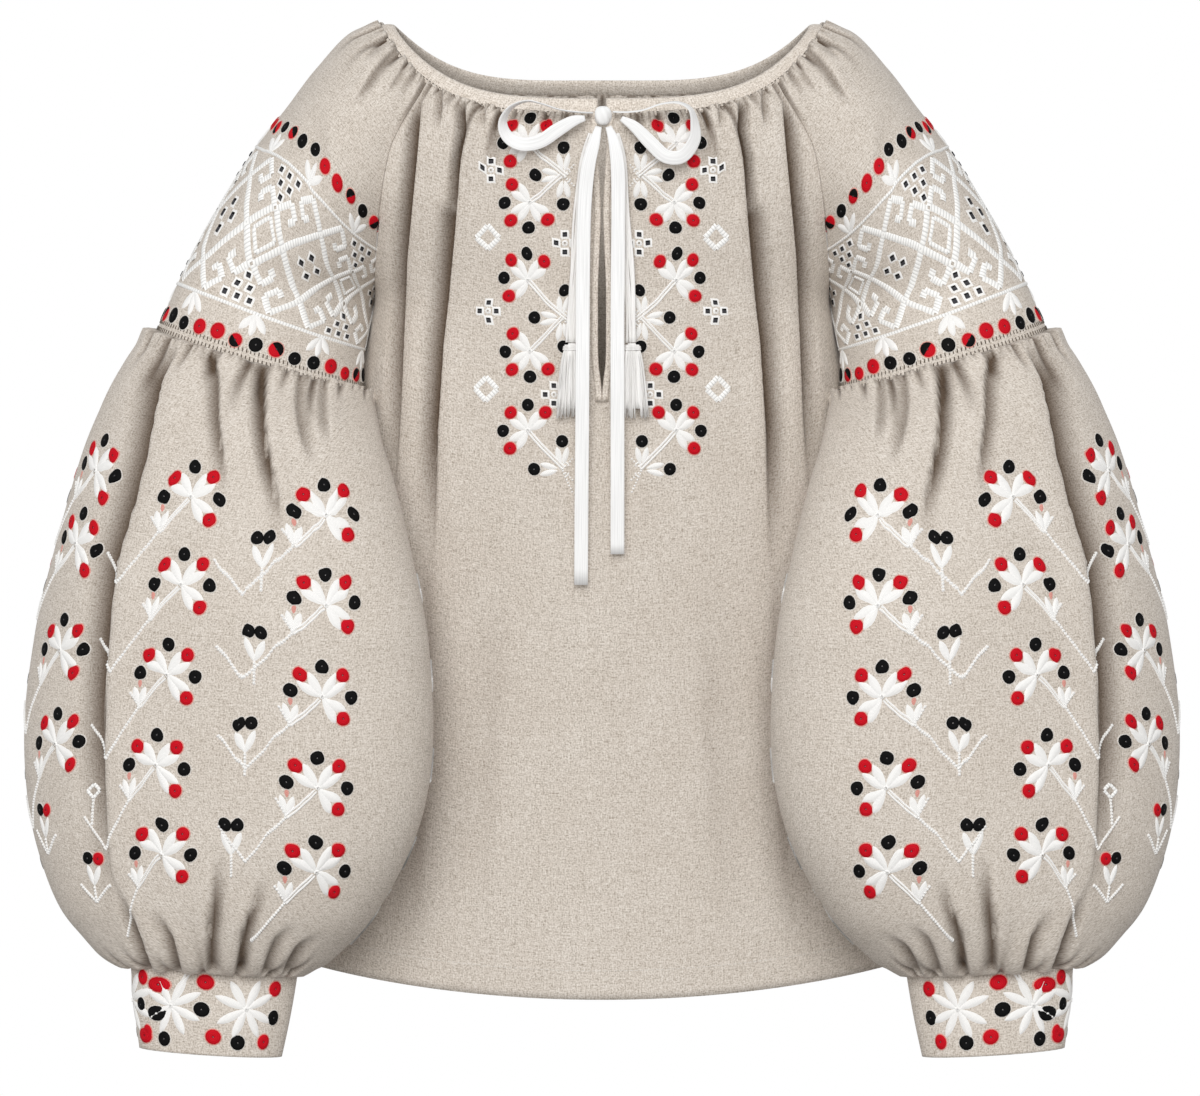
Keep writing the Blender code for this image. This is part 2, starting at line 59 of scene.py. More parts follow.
# Body rings from the neck down: centre height, edge height, edge x, edge y, centre y, half width of the slit
FRONT_ROWS = np.array((
    (-0.0570, -0.0364, 0.1135, -0.0635, -0.098, 0.0030),
    (-0.0680, -0.0545, 0.1254, -0.0700, -0.102, 0.0031),
    (-0.0800, -0.0700, 0.1340, -0.0760, -0.104, 0.0028),
    (-0.0940, -0.0840, 0.1390, -0.0790, -0.105, 0.0020),
    (-0.1180, -0.1090, 0.1435, -0.0770, -0.106, 0.0009),
    (-0.1420, -0.1340, 0.1465, -0.0640, -0.107, 0.0016),
    (-0.1660, -0.1610, 0.1490, -0.0400, -0.107, 0.0026),
    (-0.1890, -0.1850, 0.1505, 0.0, -0.108, 0.0027),
    (-0.2160, -0.2110, 0.1560, 0.0, -0.108, 0.0024),
    (-0.2423, -0.2360, 0.1640, 0.0, -0.109, 0.0),
    (-0.3000, -0.2920, 0.1790, 0.0, -0.109, 0.0),
    (-0.3600, -0.3500, 0.1880, 0.0, -0.109, 0.0),
    (-0.4300, -0.4170, 0.1970, 0.0, -0.109, 0.0),
    (-0.5000, -0.4830, 0.2050, 0.0, -0.109, 0.0),
    (-0.5700, -0.5490, 0.2120, 0.0, -0.109, 0.0),
    (-0.6313, -0.6080, 0.2160, 0.0, -0.109, 0.0),
))
BACK_ROWS = np.array((
    (-0.0445, -0.0285, 0.1135, 0.0535, 0.088, 0.0),
    (-0.0570, -0.0450, 0.1254, 0.0600, 0.092, 0.0),
    (-0.0710, -0.0620, 0.1340, 0.0660, 0.094, 0.0),
    (-0.0870, -0.0790, 0.1390, 0.0690, 0.095, 0.0),
    (-0.1140, -0.1070, 0.1435, 0.0680, 0.096, 0.0),
    (-0.1410, -0.1340, 0.1465, 0.0570, 0.096, 0.0),
    (-0.1655, -0.1610, 0.1490, 0.0360, 0.096, 0.0),
    (-0.1890, -0.1850, 0.1505, 0.0, 0.096, 0.0),
    (-0.2160, -0.2110, 0.1560, 0.0, 0.097, 0.0),
    (-0.2423, -0.2360, 0.1640, 0.0, 0.097, 0.0),
    (-0.3000, -0.2920, 0.1790, 0.0, 0.098, 0.0),
    (-0.3600, -0.3500, 0.1880, 0.0, 0.099, 0.0),
    (-0.4300, -0.4170, 0.1970, 0.0, 0.100, 0.0),
    (-0.5000, -0.4830, 0.2050, 0.0, 0.101, 0.0),
    (-0.5700, -0.5490, 0.2120, 0.0, 0.102, 0.0),
    (-0.6313, -0.6080, 0.2160, 0.0, 0.103, 0.0),
))
ARMPIT_ROW = 7
SLIT_END_ROW = 9

# Shoulder sections down to the armpit: outer x, y, z, depth radius, arc half angle in degrees
SHOULDER_ROWS = np.array((
    (0.1460, 0.0000, -0.0005, 0.070, 90.0),
    (0.1660, 0.0000, -0.0065, 0.074, 94.0),
    (0.1880, -0.0010, -0.0270, 0.080, 102.0),
    (0.2070, -0.0040, -0.0520, 0.083, 108.0),
    (0.2290, -0.0140, -0.0810, 0.083, 118.0),
    (0.2450, -0.0230, -0.1070, 0.079, 130.0),
    (0.2600, -0.0330, -0.1330, 0.072, 146.0),
    (0.2745, -0.0420, -0.1610, 0.065, 180.0),
))
# Closed arm sections: outer x, y, z, inner x, y, z, depth radius
ARM_ROWS = np.array((
    (0.2830, -0.0490, -0.1800, 0.1558, -0.0350, -0.2130, 0.059),
    (0.2910, -0.0550, -0.1978, 0.1550, -0.0560, -0.2390, 0.055),
))
# Balloon sections from the gathered seam to the cuff: outer x, y, z, inner x, y, z, depth radius
BALLOON_ROWS = np.array((
    (0.2910, -0.0550, -0.1978, 0.1550, -0.0560, -0.2390, 0.055),
    (0.3100, -0.0570, -0.2213, 0.1500, -0.0780, -0.2506, 0.061),
    (0.3259, -0.0620, -0.2465, 0.1434, -0.1020, -0.2678, 0.066),
    (0.3406, -0.0680, -0.2822, 0.1319, -0.1220, -0.3025, 0.070),
    (0.3628, -0.0790, -0.3632, 0.1146, -0.1460, -0.3768, 0.074),
    (0.3711, -0.0820, -0.4053, 0.1100, -0.1500, -0.4177, 0.075),
    (0.3761, -0.0850, -0.4507, 0.1087, -0.1520, -0.4600, 0.075),
    (0.3745, -0.0900, -0.4958, 0.1139, -0.1520, -0.5012, 0.074),
    (0.3669, -0.0970, -0.5342, 0.1268, -0.1500, -0.5374, 0.070),
    (0.3514, -0.1060, -0.5723, 0.1481, -0.1460, -0.5745, 0.060),
    (0.3282, -0.1160, -0.5960, 0.1702, -0.1400, -0.5976, 0.044),
    (0.3054, -0.1250, -0.6055, 0.1966, -0.1330, -0.6102, 0.027),
))
CUFF_ROWS = np.array((
    (0.3054, -0.1250, -0.6055, 0.1966, -0.1330, -0.6102, 0.027),
    (0.2997, -0.1290, -0.6600, 0.2071, -0.1350, -0.6652, 0.024),
))

# Loop paths: x, y, z, turn of the width in degrees (0 lies along Y, 90 in the front plane), width share
LOOP_L = (
    (-0.0064, -0.1085, -0.0555, 0, 0.5), (-0.0140, -0.1110, -0.0552, 0, 0.8),
    (-0.0270, -0.1130, -0.0535, 0, 1), (-0.0395, -0.1135, -0.0495, 0, 1),
    (-0.0490, -0.1135, -0.0480, 5, 1), (-0.0590, -0.1130, -0.0523, 15, 1),
    (-0.0640, -0.1125, -0.0612, 35, 1), (-0.0612, -0.1130, -0.0705, 60, 1),
    (-0.0520, -0.1135, -0.0757, 80, 1), (-0.0400, -0.1140, -0.0740, 90, 1),
    (-0.0290, -0.1145, -0.0668, 90, 1), (-0.0190, -0.1145, -0.0610, 90, 0.8),
    (-0.0110, -0.1135, -0.0590, 90, 0.4),
)
LOOP_R = (
    (0.0076, -0.1085, -0.0550, 0, 0.5), (0.0150, -0.1110, -0.0552, 0, 0.8),
    (0.0260, -0.1130, -0.0540, 0, 1), (0.0380, -0.1135, -0.0500, 0, 1),
    (0.0490, -0.1135, -0.0490, 5, 1), (0.0570, -0.1130, -0.0530, 15, 1),
    (0.0600, -0.1125, -0.0620, 35, 1), (0.0598, -0.1130, -0.0730, 60, 1),
    (0.0520, -0.1135, -0.0835, 80, 1), (0.0410, -0.1140, -0.0835, 90, 1),
    (0.0310, -0.1145, -0.0745, 90, 1), (0.0210, -0.1145, -0.0645, 90, 0.8),
    (0.0125, -0.1135, -0.0592, 90, 0.4),
)
# Hanging paths from the knot down: x, y, z, width share
TAIL_L = (
    (-0.0022, -0.1120, -0.0645, 0.45), (-0.0050, -0.1150, -0.0750, 0.8), (-0.0092, -0.1165, -0.0920, 1),
    (-0.0115, -0.1165, -0.1200, 1), (-0.0123, -0.1170, -0.1600, 1), (-0.0125, -0.1185, -0.2000, 1),
    (-0.0128, -0.1190, -0.2550, 1), (-0.0132, -0.1160, -0.3000, 1), (-0.0136, -0.1135, -0.3610, 1),
)
TAIL_R = (
    (0.0042, -0.1120, -0.0645, 0.45), (0.0078, -0.1150, -0.0750, 0.8), (0.0102, -0.1165, -0.0920, 1),
    (0.0105, -0.1165, -0.1200, 1), (0.0102, -0.1170, -0.1600, 1), (0.0100, -0.1185, -0.2000, 1),
    (0.0100, -0.1190, -0.2550, 1), (0.0100, -0.1160, -0.3000, 1), (0.0100, -0.1135, -0.3410, 1),
)
CORD_L = (
    (-0.0068, -0.1100, -0.0690, 0.5), (-0.0105, -0.1100, -0.0820, 0.8), (-0.0128, -0.1105, -0.0990, 1),
    (-0.0160, -0.1110, -0.1400, 1), (-0.0185, -0.1115, -0.1770, 1), (-0.0195, -0.1120, -0.2040, 1),
)
CORD_R = (
    (0.0088, -0.1100, -0.0690, 0.5), (0.0115, -0.1100, -0.0820, 0.8), (0.0132, -0.1105, -0.0990, 1),
    (0.0158, -0.1110, -0.1400, 1), (0.0180, -0.1115, -0.1770, 1), (0.0190, -0.1120, -0.2040, 1),
)
# Tassel rings, from the cord down: x, z, half width, half depth
TASSEL_RINGS = (
    (0.0193, -0.2044, 0.0030, 0.0020),
    (0.0194, -0.2066, 0.0052, 0.0027),
    (0.0196, -0.2180, 0.0073, 0.0029),
    (0.0199, -0.2340, 0.0090, 0.0029),
    (0.0202, -0.2526, 0.0105, 0.0027),
)
TASSEL_Y = -0.1135
TASSEL_THREADS = 120
TASSEL_WRAPS = (-0.2058, -0.2067, -0.2076, -0.2085)
KNOT_CENTRE = (0.0006, -0.1060, -0.0575)
KNOT_HALF_SIZE = (0.0060, 0.0046, 0.0060)

# Fine and wide gathers: spacing, shortest and longest reach, height
BODY_GATHERS = ((0.0052, (0.004, 0.014), 0.0022), (0.0150, (0.014, 0.058), 0.0034))
SHOULDER_GATHERS = ((0.0052, (0.004, 0.015), 0.0022), (0.0150, (0.014, 0.055), 0.0034))
BALLOON_GATHERS = ((0.0058, (0.005, 0.018), 0.0036), (0.0170, (0.020, 0.080), 0.0050))
CUFF_GATHERS = (0.0125, (0.018, 0.045), 0.0056)
REAR_SHIFT = 0.011

# Cells of the shown cloth
STEPS = 12
BACK_STEPS = 8
FRONT_CELLS = 180
BACK_CELLS = 120
SLEEVE_CELLS = 240
BALLOON_CELLS = 280
CUFF_CELLS = 160
CUFF_STEPS = 36
BAND_CELLS = 520
WALL = 0.0011

# Creases of the front: x, z points from the top down
FRONT_CREASES = (
    # line, depth, sharp side, soft side, side that sinks
    (((0.0875, -0.0492), (0.0873, -0.0680), (0.0911, -0.0857), (0.0933, -0.1110), (0.0960, -0.1450)),
     0.0080, 0.0013, 0.0085, 1),
    (((0.0928, -0.1095), (0.0953, -0.138), (0.0991, -0.1769), (0.1024, -0.206), (0.1060, -0.26),
      (0.1080, -0.36)), 0.0050, 0.0022, 0.0150, 1),
    (((0.1017, -0.040), (0.1027, -0.055), (0.1043, -0.0680)), 0.0030, 0.0012, 0.0060, 1),
    (((0.0739, -0.0500), (0.0745, -0.0600), (0.0750, -0.0680)), 0.0022, 0.0012, 0.0050, 1),
    (((0.0685, -0.0500), (0.0710, -0.0706), (0.0740, -0.1000)), 0.0018, 0.0025, 0.0080, -1),
    (((0.1150, -0.0450), (0.1200, -0.0900), (0.1260, -0.1500), (0.1300, -0.2400), (0.1340, -0.3200)),
     0.0060, 0.0022, 0.0120, 1),
    (((0.0420, -0.0560), (0.0430, -0.0680), (0.0435, -0.0760)), 0.0012, 0.0015, 0.0050, 1),
    (((0.0560, -0.3300), (0.0600, -0.4200), (0.0660, -0.5200), (0.0700, -0.6200)),
     0.0016, 0.0120, 0.0260, 1),
    (((0.1250, -0.3600), (0.1330, -0.4500), (0.1430, -0.5500), (0.1500, -0.6300)),
     0.0024, 0.0100, 0.0260, -1),
    (((0.1050, -0.3000), (0.1090, -0.4200), (0.1150, -0.5400), (0.1200, -0.6300)),
     0.0022, 0.0080, 0.0240, 1),
)
BACK_CREASES = (
    (((0.0790, -0.0400), (0.0800, -0.0700), (0.0840, -0.1100), (0.0900, -0.1700), (0.0960, -0.2600)),
     0.0050, 0.0018, 0.0140, 1),
    (((0.0980, -0.0330), (0.0990, -0.0550), (0.1010, -0.0850)), 0.0028, 0.0012, 0.0070, 1),
    (((0.0600, -0.0420), (0.0610, -0.0700), (0.0640, -0.1200)), 0.0024, 0.0015, 0.0080, -1),
    (((0.0330, -0.0430), (0.0345, -0.0700), (0.0380, -0.1300), (0.0420, -0.2200)),
     0.0032, 0.0018, 0.0120, 1),
    (((0.0130, -0.0440), (0.0135, -0.0620), (0.0140, -0.0900)), 0.0020, 0.0012, 0.0070, -1),
    (((0.1120, -0.0450), (0.1180, -0.0900), (0.1240, -0.1500), (0.1290, -0.2500)),
     0.0036, 0.0040, 0.0140, 1),
    (((0.0500, -0.3300), (0.0560, -0.4400), (0.0640, -0.6200)), 0.0022, 0.0100, 0.0280, 1),
    (((0.1150, -0.3000), (0.1250, -0.4400), (0.1400, -0.6200)), 0.0024, 0.0100, 0.0280, -1),
)
SHOULDER_CREASES = (
    (((0.1350, -0.0150), (0.1445, -0.0230), (0.1503, -0.0301), (0.1660, -0.0520)),
     0.0030, 0.0016, 0.0070, -1),
    (((0.1290, -0.0240), (0.1354, -0.0343), (0.1420, -0.0450)), 0.0020, 0.0014, 0.0050, -1),
    (((0.1406, -0.0080), (0.1490, -0.0136), (0.1580, -0.0230)), 0.0016, 0.0014, 0.0050, -1),
    (((0.1800, -0.0500), (0.1750, -0.0800), (0.1700, -0.1150)), 0.0012, 0.0060, 0.0120, 1),
)
BALLOON_CREASES = (
    (((0.2690, -0.2050), (0.2728, -0.2131), (0.2821, -0.2291), (0.2884, -0.2527), (0.2931, -0.2777),
      (0.2994, -0.3029), (0.3059, -0.3246), (0.3119, -0.3437), (0.3136, -0.3628), (0.3175, -0.3972),
      (0.3201, -0.4620), (0.3156, -0.5397), (0.3015, -0.5797), (0.2929, -0.6020)),
     0.0062, 0.0020, 0.0200, 1),
    (((0.2492, -0.2120), (0.2482, -0.2196), (0.2462, -0.2291), (0.2456, -0.2527), (0.2430, -0.2715),
      (0.2398, -0.3050)),
     0.0042, 0.0016, 0.0110, 1),
    (((0.2180, -0.2170), (0.2177, -0.2235), (0.2166, -0.2306), (0.2158, -0.2559), (0.2122, -0.2779),
      (0.2067, -0.3000), (0.2020, -0.3300)),
     0.0066, 0.0014, 0.0120, 1),
    (((0.2004, -0.2250), (0.1996, -0.2462), (0.1965, -0.2604), (0.1879, -0.2850)),
     0.0030, 0.0030, 0.0080, -1),
    (((0.1801, -0.2300), (0.1769, -0.2527), (0.1724, -0.2700)), 0.0026, 0.0016, 0.0080, 1),
    (((0.2540, -0.6060), (0.2543, -0.5851), (0.2514, -0.5585), (0.2480, -0.5250)),
     0.0060, 0.0020, 0.0100, -1),
    (((0.2370, -0.6060), (0.2313, -0.5793), (0.2255, -0.5637), (0.2190, -0.5400)),
     0.0050, 0.0020, 0.0090, -1),
    (((0.2210, -0.6060), (0.2119, -0.5851), (0.2000, -0.5720)), 0.0036, 0.0020, 0.0080, -1),
    (((0.2680, -0.6060), (0.2741, -0.5851), (0.2850, -0.5650)), 0.0044, 0.0020, 0.0080, 1),
    (((0.2860, -0.6060), (0.2980, -0.5797), (0.3101, -0.5493)), 0.0044, 0.0020, 0.0090, 1),
    (((0.2080, -0.6060), (0.1980, -0.5900), (0.1850, -0.5800)), 0.0036, 0.0020, 0.0080, -1),
)


# ---------------------------------------------------------------- shapes of the cloth
def neck_edge(angle, top=False):
    """The neckband's lower or top edge; angle 0 is the front centre, a right angle the +X shoulder."""
    half_width = NECK_TOP_HALF_WIDTH if top else NECK_HALF_WIDTH
    half_depth = NECK_TOP_HALF_DEPTH if top else NECK_HALF_DEPTH
    front_drop = NECK_TOP_FRONT_DROP if top else NECK_FRONT_DROP
    back_drop = NECK_TOP_BACK_DROP if top else NECK_BACK_DROP
    middle = (front_drop + back_drop) / 2
    drop = middle + (front_drop - back_drop) / 2 * np.cos(angle)
    rise = middle if top else middle - NECK_SHOULDER_DROP
    x = half_width * np.sin(angle)
    y = NECK_MIDDLE_Y - half_depth * np.cos(angle)
    return np.stack([x, y, rise * np.sin(angle) ** 4 - drop], axis=-1)


def smooth(value):
    """From 0 to 1 without corners."""
    value = np.clip(value, 0, 1)
    return value * value * (3 - 2 * value)


def unit(vectors):
    """The same directions at length one."""
    return vectors / np.maximum(np.linalg.norm(vectors, axis=-1, keepdims=True), 1e-12)


def rounded(coarse, steps):
    """A smooth line through every row of points, with that many steps between two rows."""
    coarse = np.asarray(coarse, dtype=float)
    before = 2 * coarse[:1] - coarse[1:2]
    after = 2 * coarse[-1:] - coarse[-2:-1]
    rows = np.concatenate([before, coarse, after])
    out = []
    for number in range(len(coarse) - 1):
        a, b, c, d = rows[number:number + 4]
        for t in np.arange(steps) / steps:
            bend = (2 * a - 5 * b + 4 * c - d) * t * t + (3 * b - a - 3 * c + d) * t ** 3
            out.append(0.5 * (2 * b + (c - a) * t + bend))
    out.append(coarse[-1])
    return np.array(out)


def panel_half(rows, cells, steps):
    """The front or back from its centre out to the +X edge, row by row."""
    sections = []
    for number, row in enumerate(rows):
        centre_z, edge_z, edge_x, edge_y, centre_y, slit = row
        edge = np.arccos(np.clip(edge_y / centre_y, 0, 1) ** (1 / BOXINESS))
        first = np.arcsin(slit * np.sin(edge) / edge_x)
        angles = np.linspace(first, edge, cells + 1)
        x = edge_x * np.sin(angles) / np.sin(edge)
        y = centre_y * np.clip(np.cos(angles), 0, 1) ** BOXINESS
        z = centre_z + (edge_z - centre_z) * (x / edge_x) ** 2
        points = np.stack([x, y, z], axis=-1)
        if number == 0:
            turn = np.arcsin(x / NECK_HALF_WIDTH)
            points = neck_edge(turn if centre_y < 0 else np.pi - turn)
        sections.append(points)
    dense = rounded(sections, steps)
    dense[..., 0] = np.clip(dense[..., 0], 0, None)
    if rows[0, 5] > 0:
        dense[SLIT_END_ROW * steps:, 0, 0] = 0
    return dense


def ring(outer, inner_front, inner_back, depth, half_angle, ways):
    """An arc from the inner front point round the outer point to the inner back point."""
    turn = np.abs(ways) * half_angle
    share = (1 - np.cos(turn)) / (1 - np.cos(half_angle))
    ends = np.where((ways < 0)[:, None], inner_front, inner_back)
    side = np.where(ways < 0, -1.0, 1.0)
    points = outer + (ends - outer) * share[:, None]
    points[:, 1] += side * depth * (np.sin(turn) - np.sin(half_angle) * share)
    return points


def shoulder_grid(front_edge, back_edge):
    """The sleeve from the neckband to the stitched gather; its open sides follow the body's edges."""
    ways = np.linspace(-1, 1, SLEEVE_CELLS + 1)
    front_turn = np.arcsin(FRONT_ROWS[0, 2] / NECK_HALF_WIDTH)
    sections = [neck_edge(np.linspace(front_turn, np.pi - front_turn, SLEEVE_CELLS + 1))]
    for number in range(1, ARMPIT_ROW + 1):
        front = FRONT_ROWS[number, [2, 3, 1]]
        back = BACK_ROWS[number, [2, 3, 1]]
        depth, degrees = SHOULDER_ROWS[number, 3:]
        sections.append(ring(SHOULDER_ROWS[number, :3], front, back, depth, np.radians(degrees), ways))
    for row in ARM_ROWS:
        sections.append(ring(row[:3], row[3:6], row[3:6], row[6], np.pi, ways))
    grid = rounded(sections, STEPS)
    open_rows = ARMPIT_ROW * STEPS
    for column, edge in ((0, front_edge), (-1, back_edge)):
        places = np.linspace(0, len(edge) - 1, open_rows + 1)
        wanted = np.stack([np.interp(places, np.arange(len(edge)), edge[:, k]) for k in range(3)], axis=-1)
        near = smooth(1 - np.abs(ways - ways[column]) / 0.25)
        step = wanted - grid[:open_rows + 1, column]
        grid[:open_rows + 1] += near[None, :, None] * step[:, None]
    return grid


def tube(rows, cells, steps):
    """Closed sections of a sleeve piece."""
    ways = np.linspace(-1, 1, cells + 1)
    return rounded([ring(row[:3], row[3:6], row[3:6], row[6], np.pi, ways) for row in rows], steps)


def outward(grid, closed=False):
    """The outward direction at every point of a grid that runs left to right seen from outside."""
    down = np.gradient(grid, axis=0)
    along = np.gradient(grid, axis=1)
    if closed:
        along[:, 0] = along[:, -1] = grid[:, 1] - grid[:, -2]
    directions = unit(np.cross(down, along))
    if closed:
        directions[:, 0] = directions[:, -1] = unit(directions[:, 0] + directions[:, -1])
    return directions


def lengths_down(grid):
    """How far each point lies below the top row, along the cloth."""
    steps = np.linalg.norm(np.diff(grid, axis=0), axis=2)
    return np.concatenate([np.zeros((1, grid.shape[1])), np.cumsum(steps, axis=0)])


def lengths_across(grid):
    """How far each point lies from the first column, along the cloth."""
    steps = np.linalg.norm(np.diff(grid, axis=1), axis=2)
    return np.concatenate([np.zeros((len(grid), 1)), np.cumsum(steps, axis=1)], axis=1)


def lengths_along(points):
    """How far each point of a line lies from its start."""
    return np.concatenate([[0], np.cumsum(np.linalg.norm(np.diff(points, axis=0), axis=1))])


def between(table, row, column):
    """The table's values at fractional rows and columns."""
    row = np.clip(row, 0, len(table) - 1.001)
    column = np.clip(column, 0, table.shape[1] - 1.001)
    i = row.astype(int)
    j = column.astype(int)
    down = row - i
    along = column - j
    if table.ndim == 3:
        down = down[..., None]
        along = along[..., None]
    high = table[i, j] * (1 - along) + table[i, j + 1] * along
    low = table[i + 1, j] * (1 - along) + table[i + 1, j + 1] * along
    return high * (1 - down) + low * down


# ---------------------------------------------------------------- folds
# A fold whose sharp side is wider than BROAD_FOLD starts gradually; past SHADED_WIDTH its painted shade is
# also lighter
BROAD_FOLD = 0.005
SHARP_ONSET = 0.06
BROAD_ONSET = 0.40
SHADED_WIDTH = 0.0030


def crease(x, z, line, depth, sharp, soft, side):
    """One fold along a line: the cloth falls off sharply on one side and comes back softly, with painted
    shade where it falls.
    """
    line = np.array(sorted(line, key=lambda spot: spot[1]))
    middle = np.interp(z, line[:, 1], line[:, 0])
    slope = np.interp(z, line[:, 1], np.gradient(line[:, 0], line[:, 1]))
    gap = (x - middle) * side / np.sqrt(1 + slope * slope)
    low, high = line[0, 1], line[-1, 1]
    length = high - low
    onset = SHARP_ONSET if sharp < BROAD_FOLD else BROAD_ONSET
    fade = smooth((high - z) / (onset * length)) * smooth((z - low) / (0.45 * length))
    if high < -0.5:
        fade = smooth((high - z) / (0.6 * length)) * smooth((z - low) / (0.06 * length))
    fall = smooth(gap / sharp) * (1 - smooth((gap - sharp) / soft))
    lip = 0.30 * np.exp(-((gap + 0.35 * soft) / (0.45 * soft)) ** 2)
    return depth * fade * (lip - fall), fade * fall * min(1.0, SHADED_WIDTH / sharp)


def folded(grid, creases, facing):
    """The height and the shade of a set of creases where the cloth faces that way in Y."""
    directions = outward(grid)
    height = np.zeros(grid.shape[:2])
    shade = np.zeros(grid.shape[:2])
    mask = smooth(0.5 + 1.2 * facing * directions[..., 1])
    for line, depth, sharp, soft, side in creases:
        rise, painted_valley_shade = crease(grid[..., 0], grid[..., 2], line, depth, sharp, soft, side)
        height += mask * rise
        shade = np.maximum(shade, mask * painted_valley_shade * min(1.0, depth / 0.005))
    return height, shade


def puckers(position, distance, spacing, reach, height, seed):
    """Fine gathers under a seam, uneven in place, length and depth; they rise outward only. Also returns
    where their notches lie, used as painted shade.
    """
    picks = np.random.default_rng(seed)
    place = position.min()
    rise = np.zeros(distance.shape)
    body = height * (1 - smooth(distance / reach[1]))
    while place < position.max():
        width = spacing * picks.uniform(0.18, 0.30)
        long = picks.uniform(*reach)
        depth = picks.uniform(0.6, 1.0)
        across = 1 - smooth(np.abs(position - place) / width)
        fade = 1 - smooth(distance / long)
        rise = np.maximum(rise, across * fade * depth)
        place += spacing * picks.uniform(0.65, 1.4)
    return body * (1 - rise), rise


def gathers(position, distance, fine, wide, seed):
    """Fine and wide puckers: their rise together, the wide rise alone, and the painted shade in their
    notches.
    """
    fine_rise, fine_shade = puckers(position, distance, *fine, seed)
    wide_rise, wide_shade = puckers(position, distance, *wide, seed + 40)
    return fine_rise + wide_rise, wide_rise, np.maximum(fine_shade, wide_shade)


# ---------------------------------------------------------------- meshes
def joined(points, faces):
    """One list of points where those that coincide are the same, without the faces that vanish."""
    rounded_points = np.round(points / 2e-6).astype(np.int64)
    _, first, back = np.unique(rounded_points, axis=0, return_index=True, return_inverse=True)
    back = back.reshape(-1)
    kept = []
    for face in faces:
        corners = [int(back[spot]) for spot in face]
        clean = [spot for number, spot in enumerate(corners) if spot != corners[number - 1]]
        if len(clean) > 2:
            kept.append(clean)
    return points[first], kept, first


def make_mesh(name, points, faces, material, uv=None, shade=None):
    mesh = bpy.data.meshes.new(name)
    mesh.from_pydata(points.tolist(), [], faces)
    mesh.materials.append(material)
    corners = np.empty(len(mesh.loops), dtype=np.int32)
    mesh.loops.foreach_get("vertex_index", corners)
    if uv is not None:
        layer = mesh.uv_layers.new(name="UVMap")
        layer.data.foreach_set("uv", uv[corners].astype(np.float32).ravel())
    if shade is not None:
        # Painted shade for the linen: how deep in a crease or gather each point lies.
        painted_valley_shade = mesh.attributes.new("painted_valley_shade", "FLOAT", "POINT")
        painted_valley_shade.data.foreach_set("value", shade.astype(np.float32))
    mesh.polygons.foreach_set("use_smooth", [True] * len(mesh.polygons))
    mesh.update()
    made = bpy.data.objects.new(name, mesh)
    bpy.context.scene.collection.objects.link(made)
    return made


class Shell:
    """Sheets of cloth with an outer face, a coarser inner face and a rim, collected for one mesh."""

    def __init__(self):
        self.points = []
        self.faces = []
        self.uv = []
        self.shade = []
        self.count = 0

    def add_layer(self, grid, uv, shade, inward):
        rows, columns = grid.shape[:2]
        numbers = self.count + np.arange(rows * columns).reshape(rows, columns)
        corners = np.stack([numbers[:-1, :-1], numbers[1:, :-1], numbers[1:, 1:], numbers[:-1, 1:]], axis=-1)
        if inward:
            corners = corners[..., ::-1]
        self.points.append(grid.reshape(-1, 3))
        self.uv.append(uv.reshape(-1, 2))
        self.shade.append(shade.reshape(-1))
        self.faces += corners.reshape(-1, 4).tolist()
        self.count += rows * columns
        return numbers

    def add(self, outer, inner, uv, shade, rims):
        """rims are index pairs: which row or column, and the range along it."""
        top = self.add_layer(outer, uv, shade, False)
        low = self.add_layer(inner[::2, ::2], uv[::2, ::2], shade[::2, ::2], True)
        for side, until in rims:
            short = (until + 1) // 2
            lines = {
                "top": (top[0], low[0]),
                "bottom": (top[-1, ::-1], low[-1, ::-1]),
                "left": (top[:until, 0][::-1], low[:short, 0][::-1]),
                "right": (top[:until, -1], low[:short, -1]),
            }
            fine, coarse = lines[side]
            for number in range(len(coarse) - 1):
                a, b, c = fine[2 * number:2 * number + 3]
                self.faces.append([int(a), int(b), int(c), int(coarse[number + 1]), int(coarse[number])])

    def build(self, name, material):
        points, faces, first = joined(np.concatenate(self.points), self.faces)
        uv = np.concatenate(self.uv)[first]
        shade = np.concatenate(self.shade)[first]
        return make_mesh(name, points, faces, material, uv, shade)


def mirrored(grid):
    """The same grid on the -X side, still running left to right seen from outside."""
    return (grid * (-1, 1, 1))[:, ::-1]


def flipped(grid):
    """The columns in the opposite order."""
    return grid[:, ::-1]


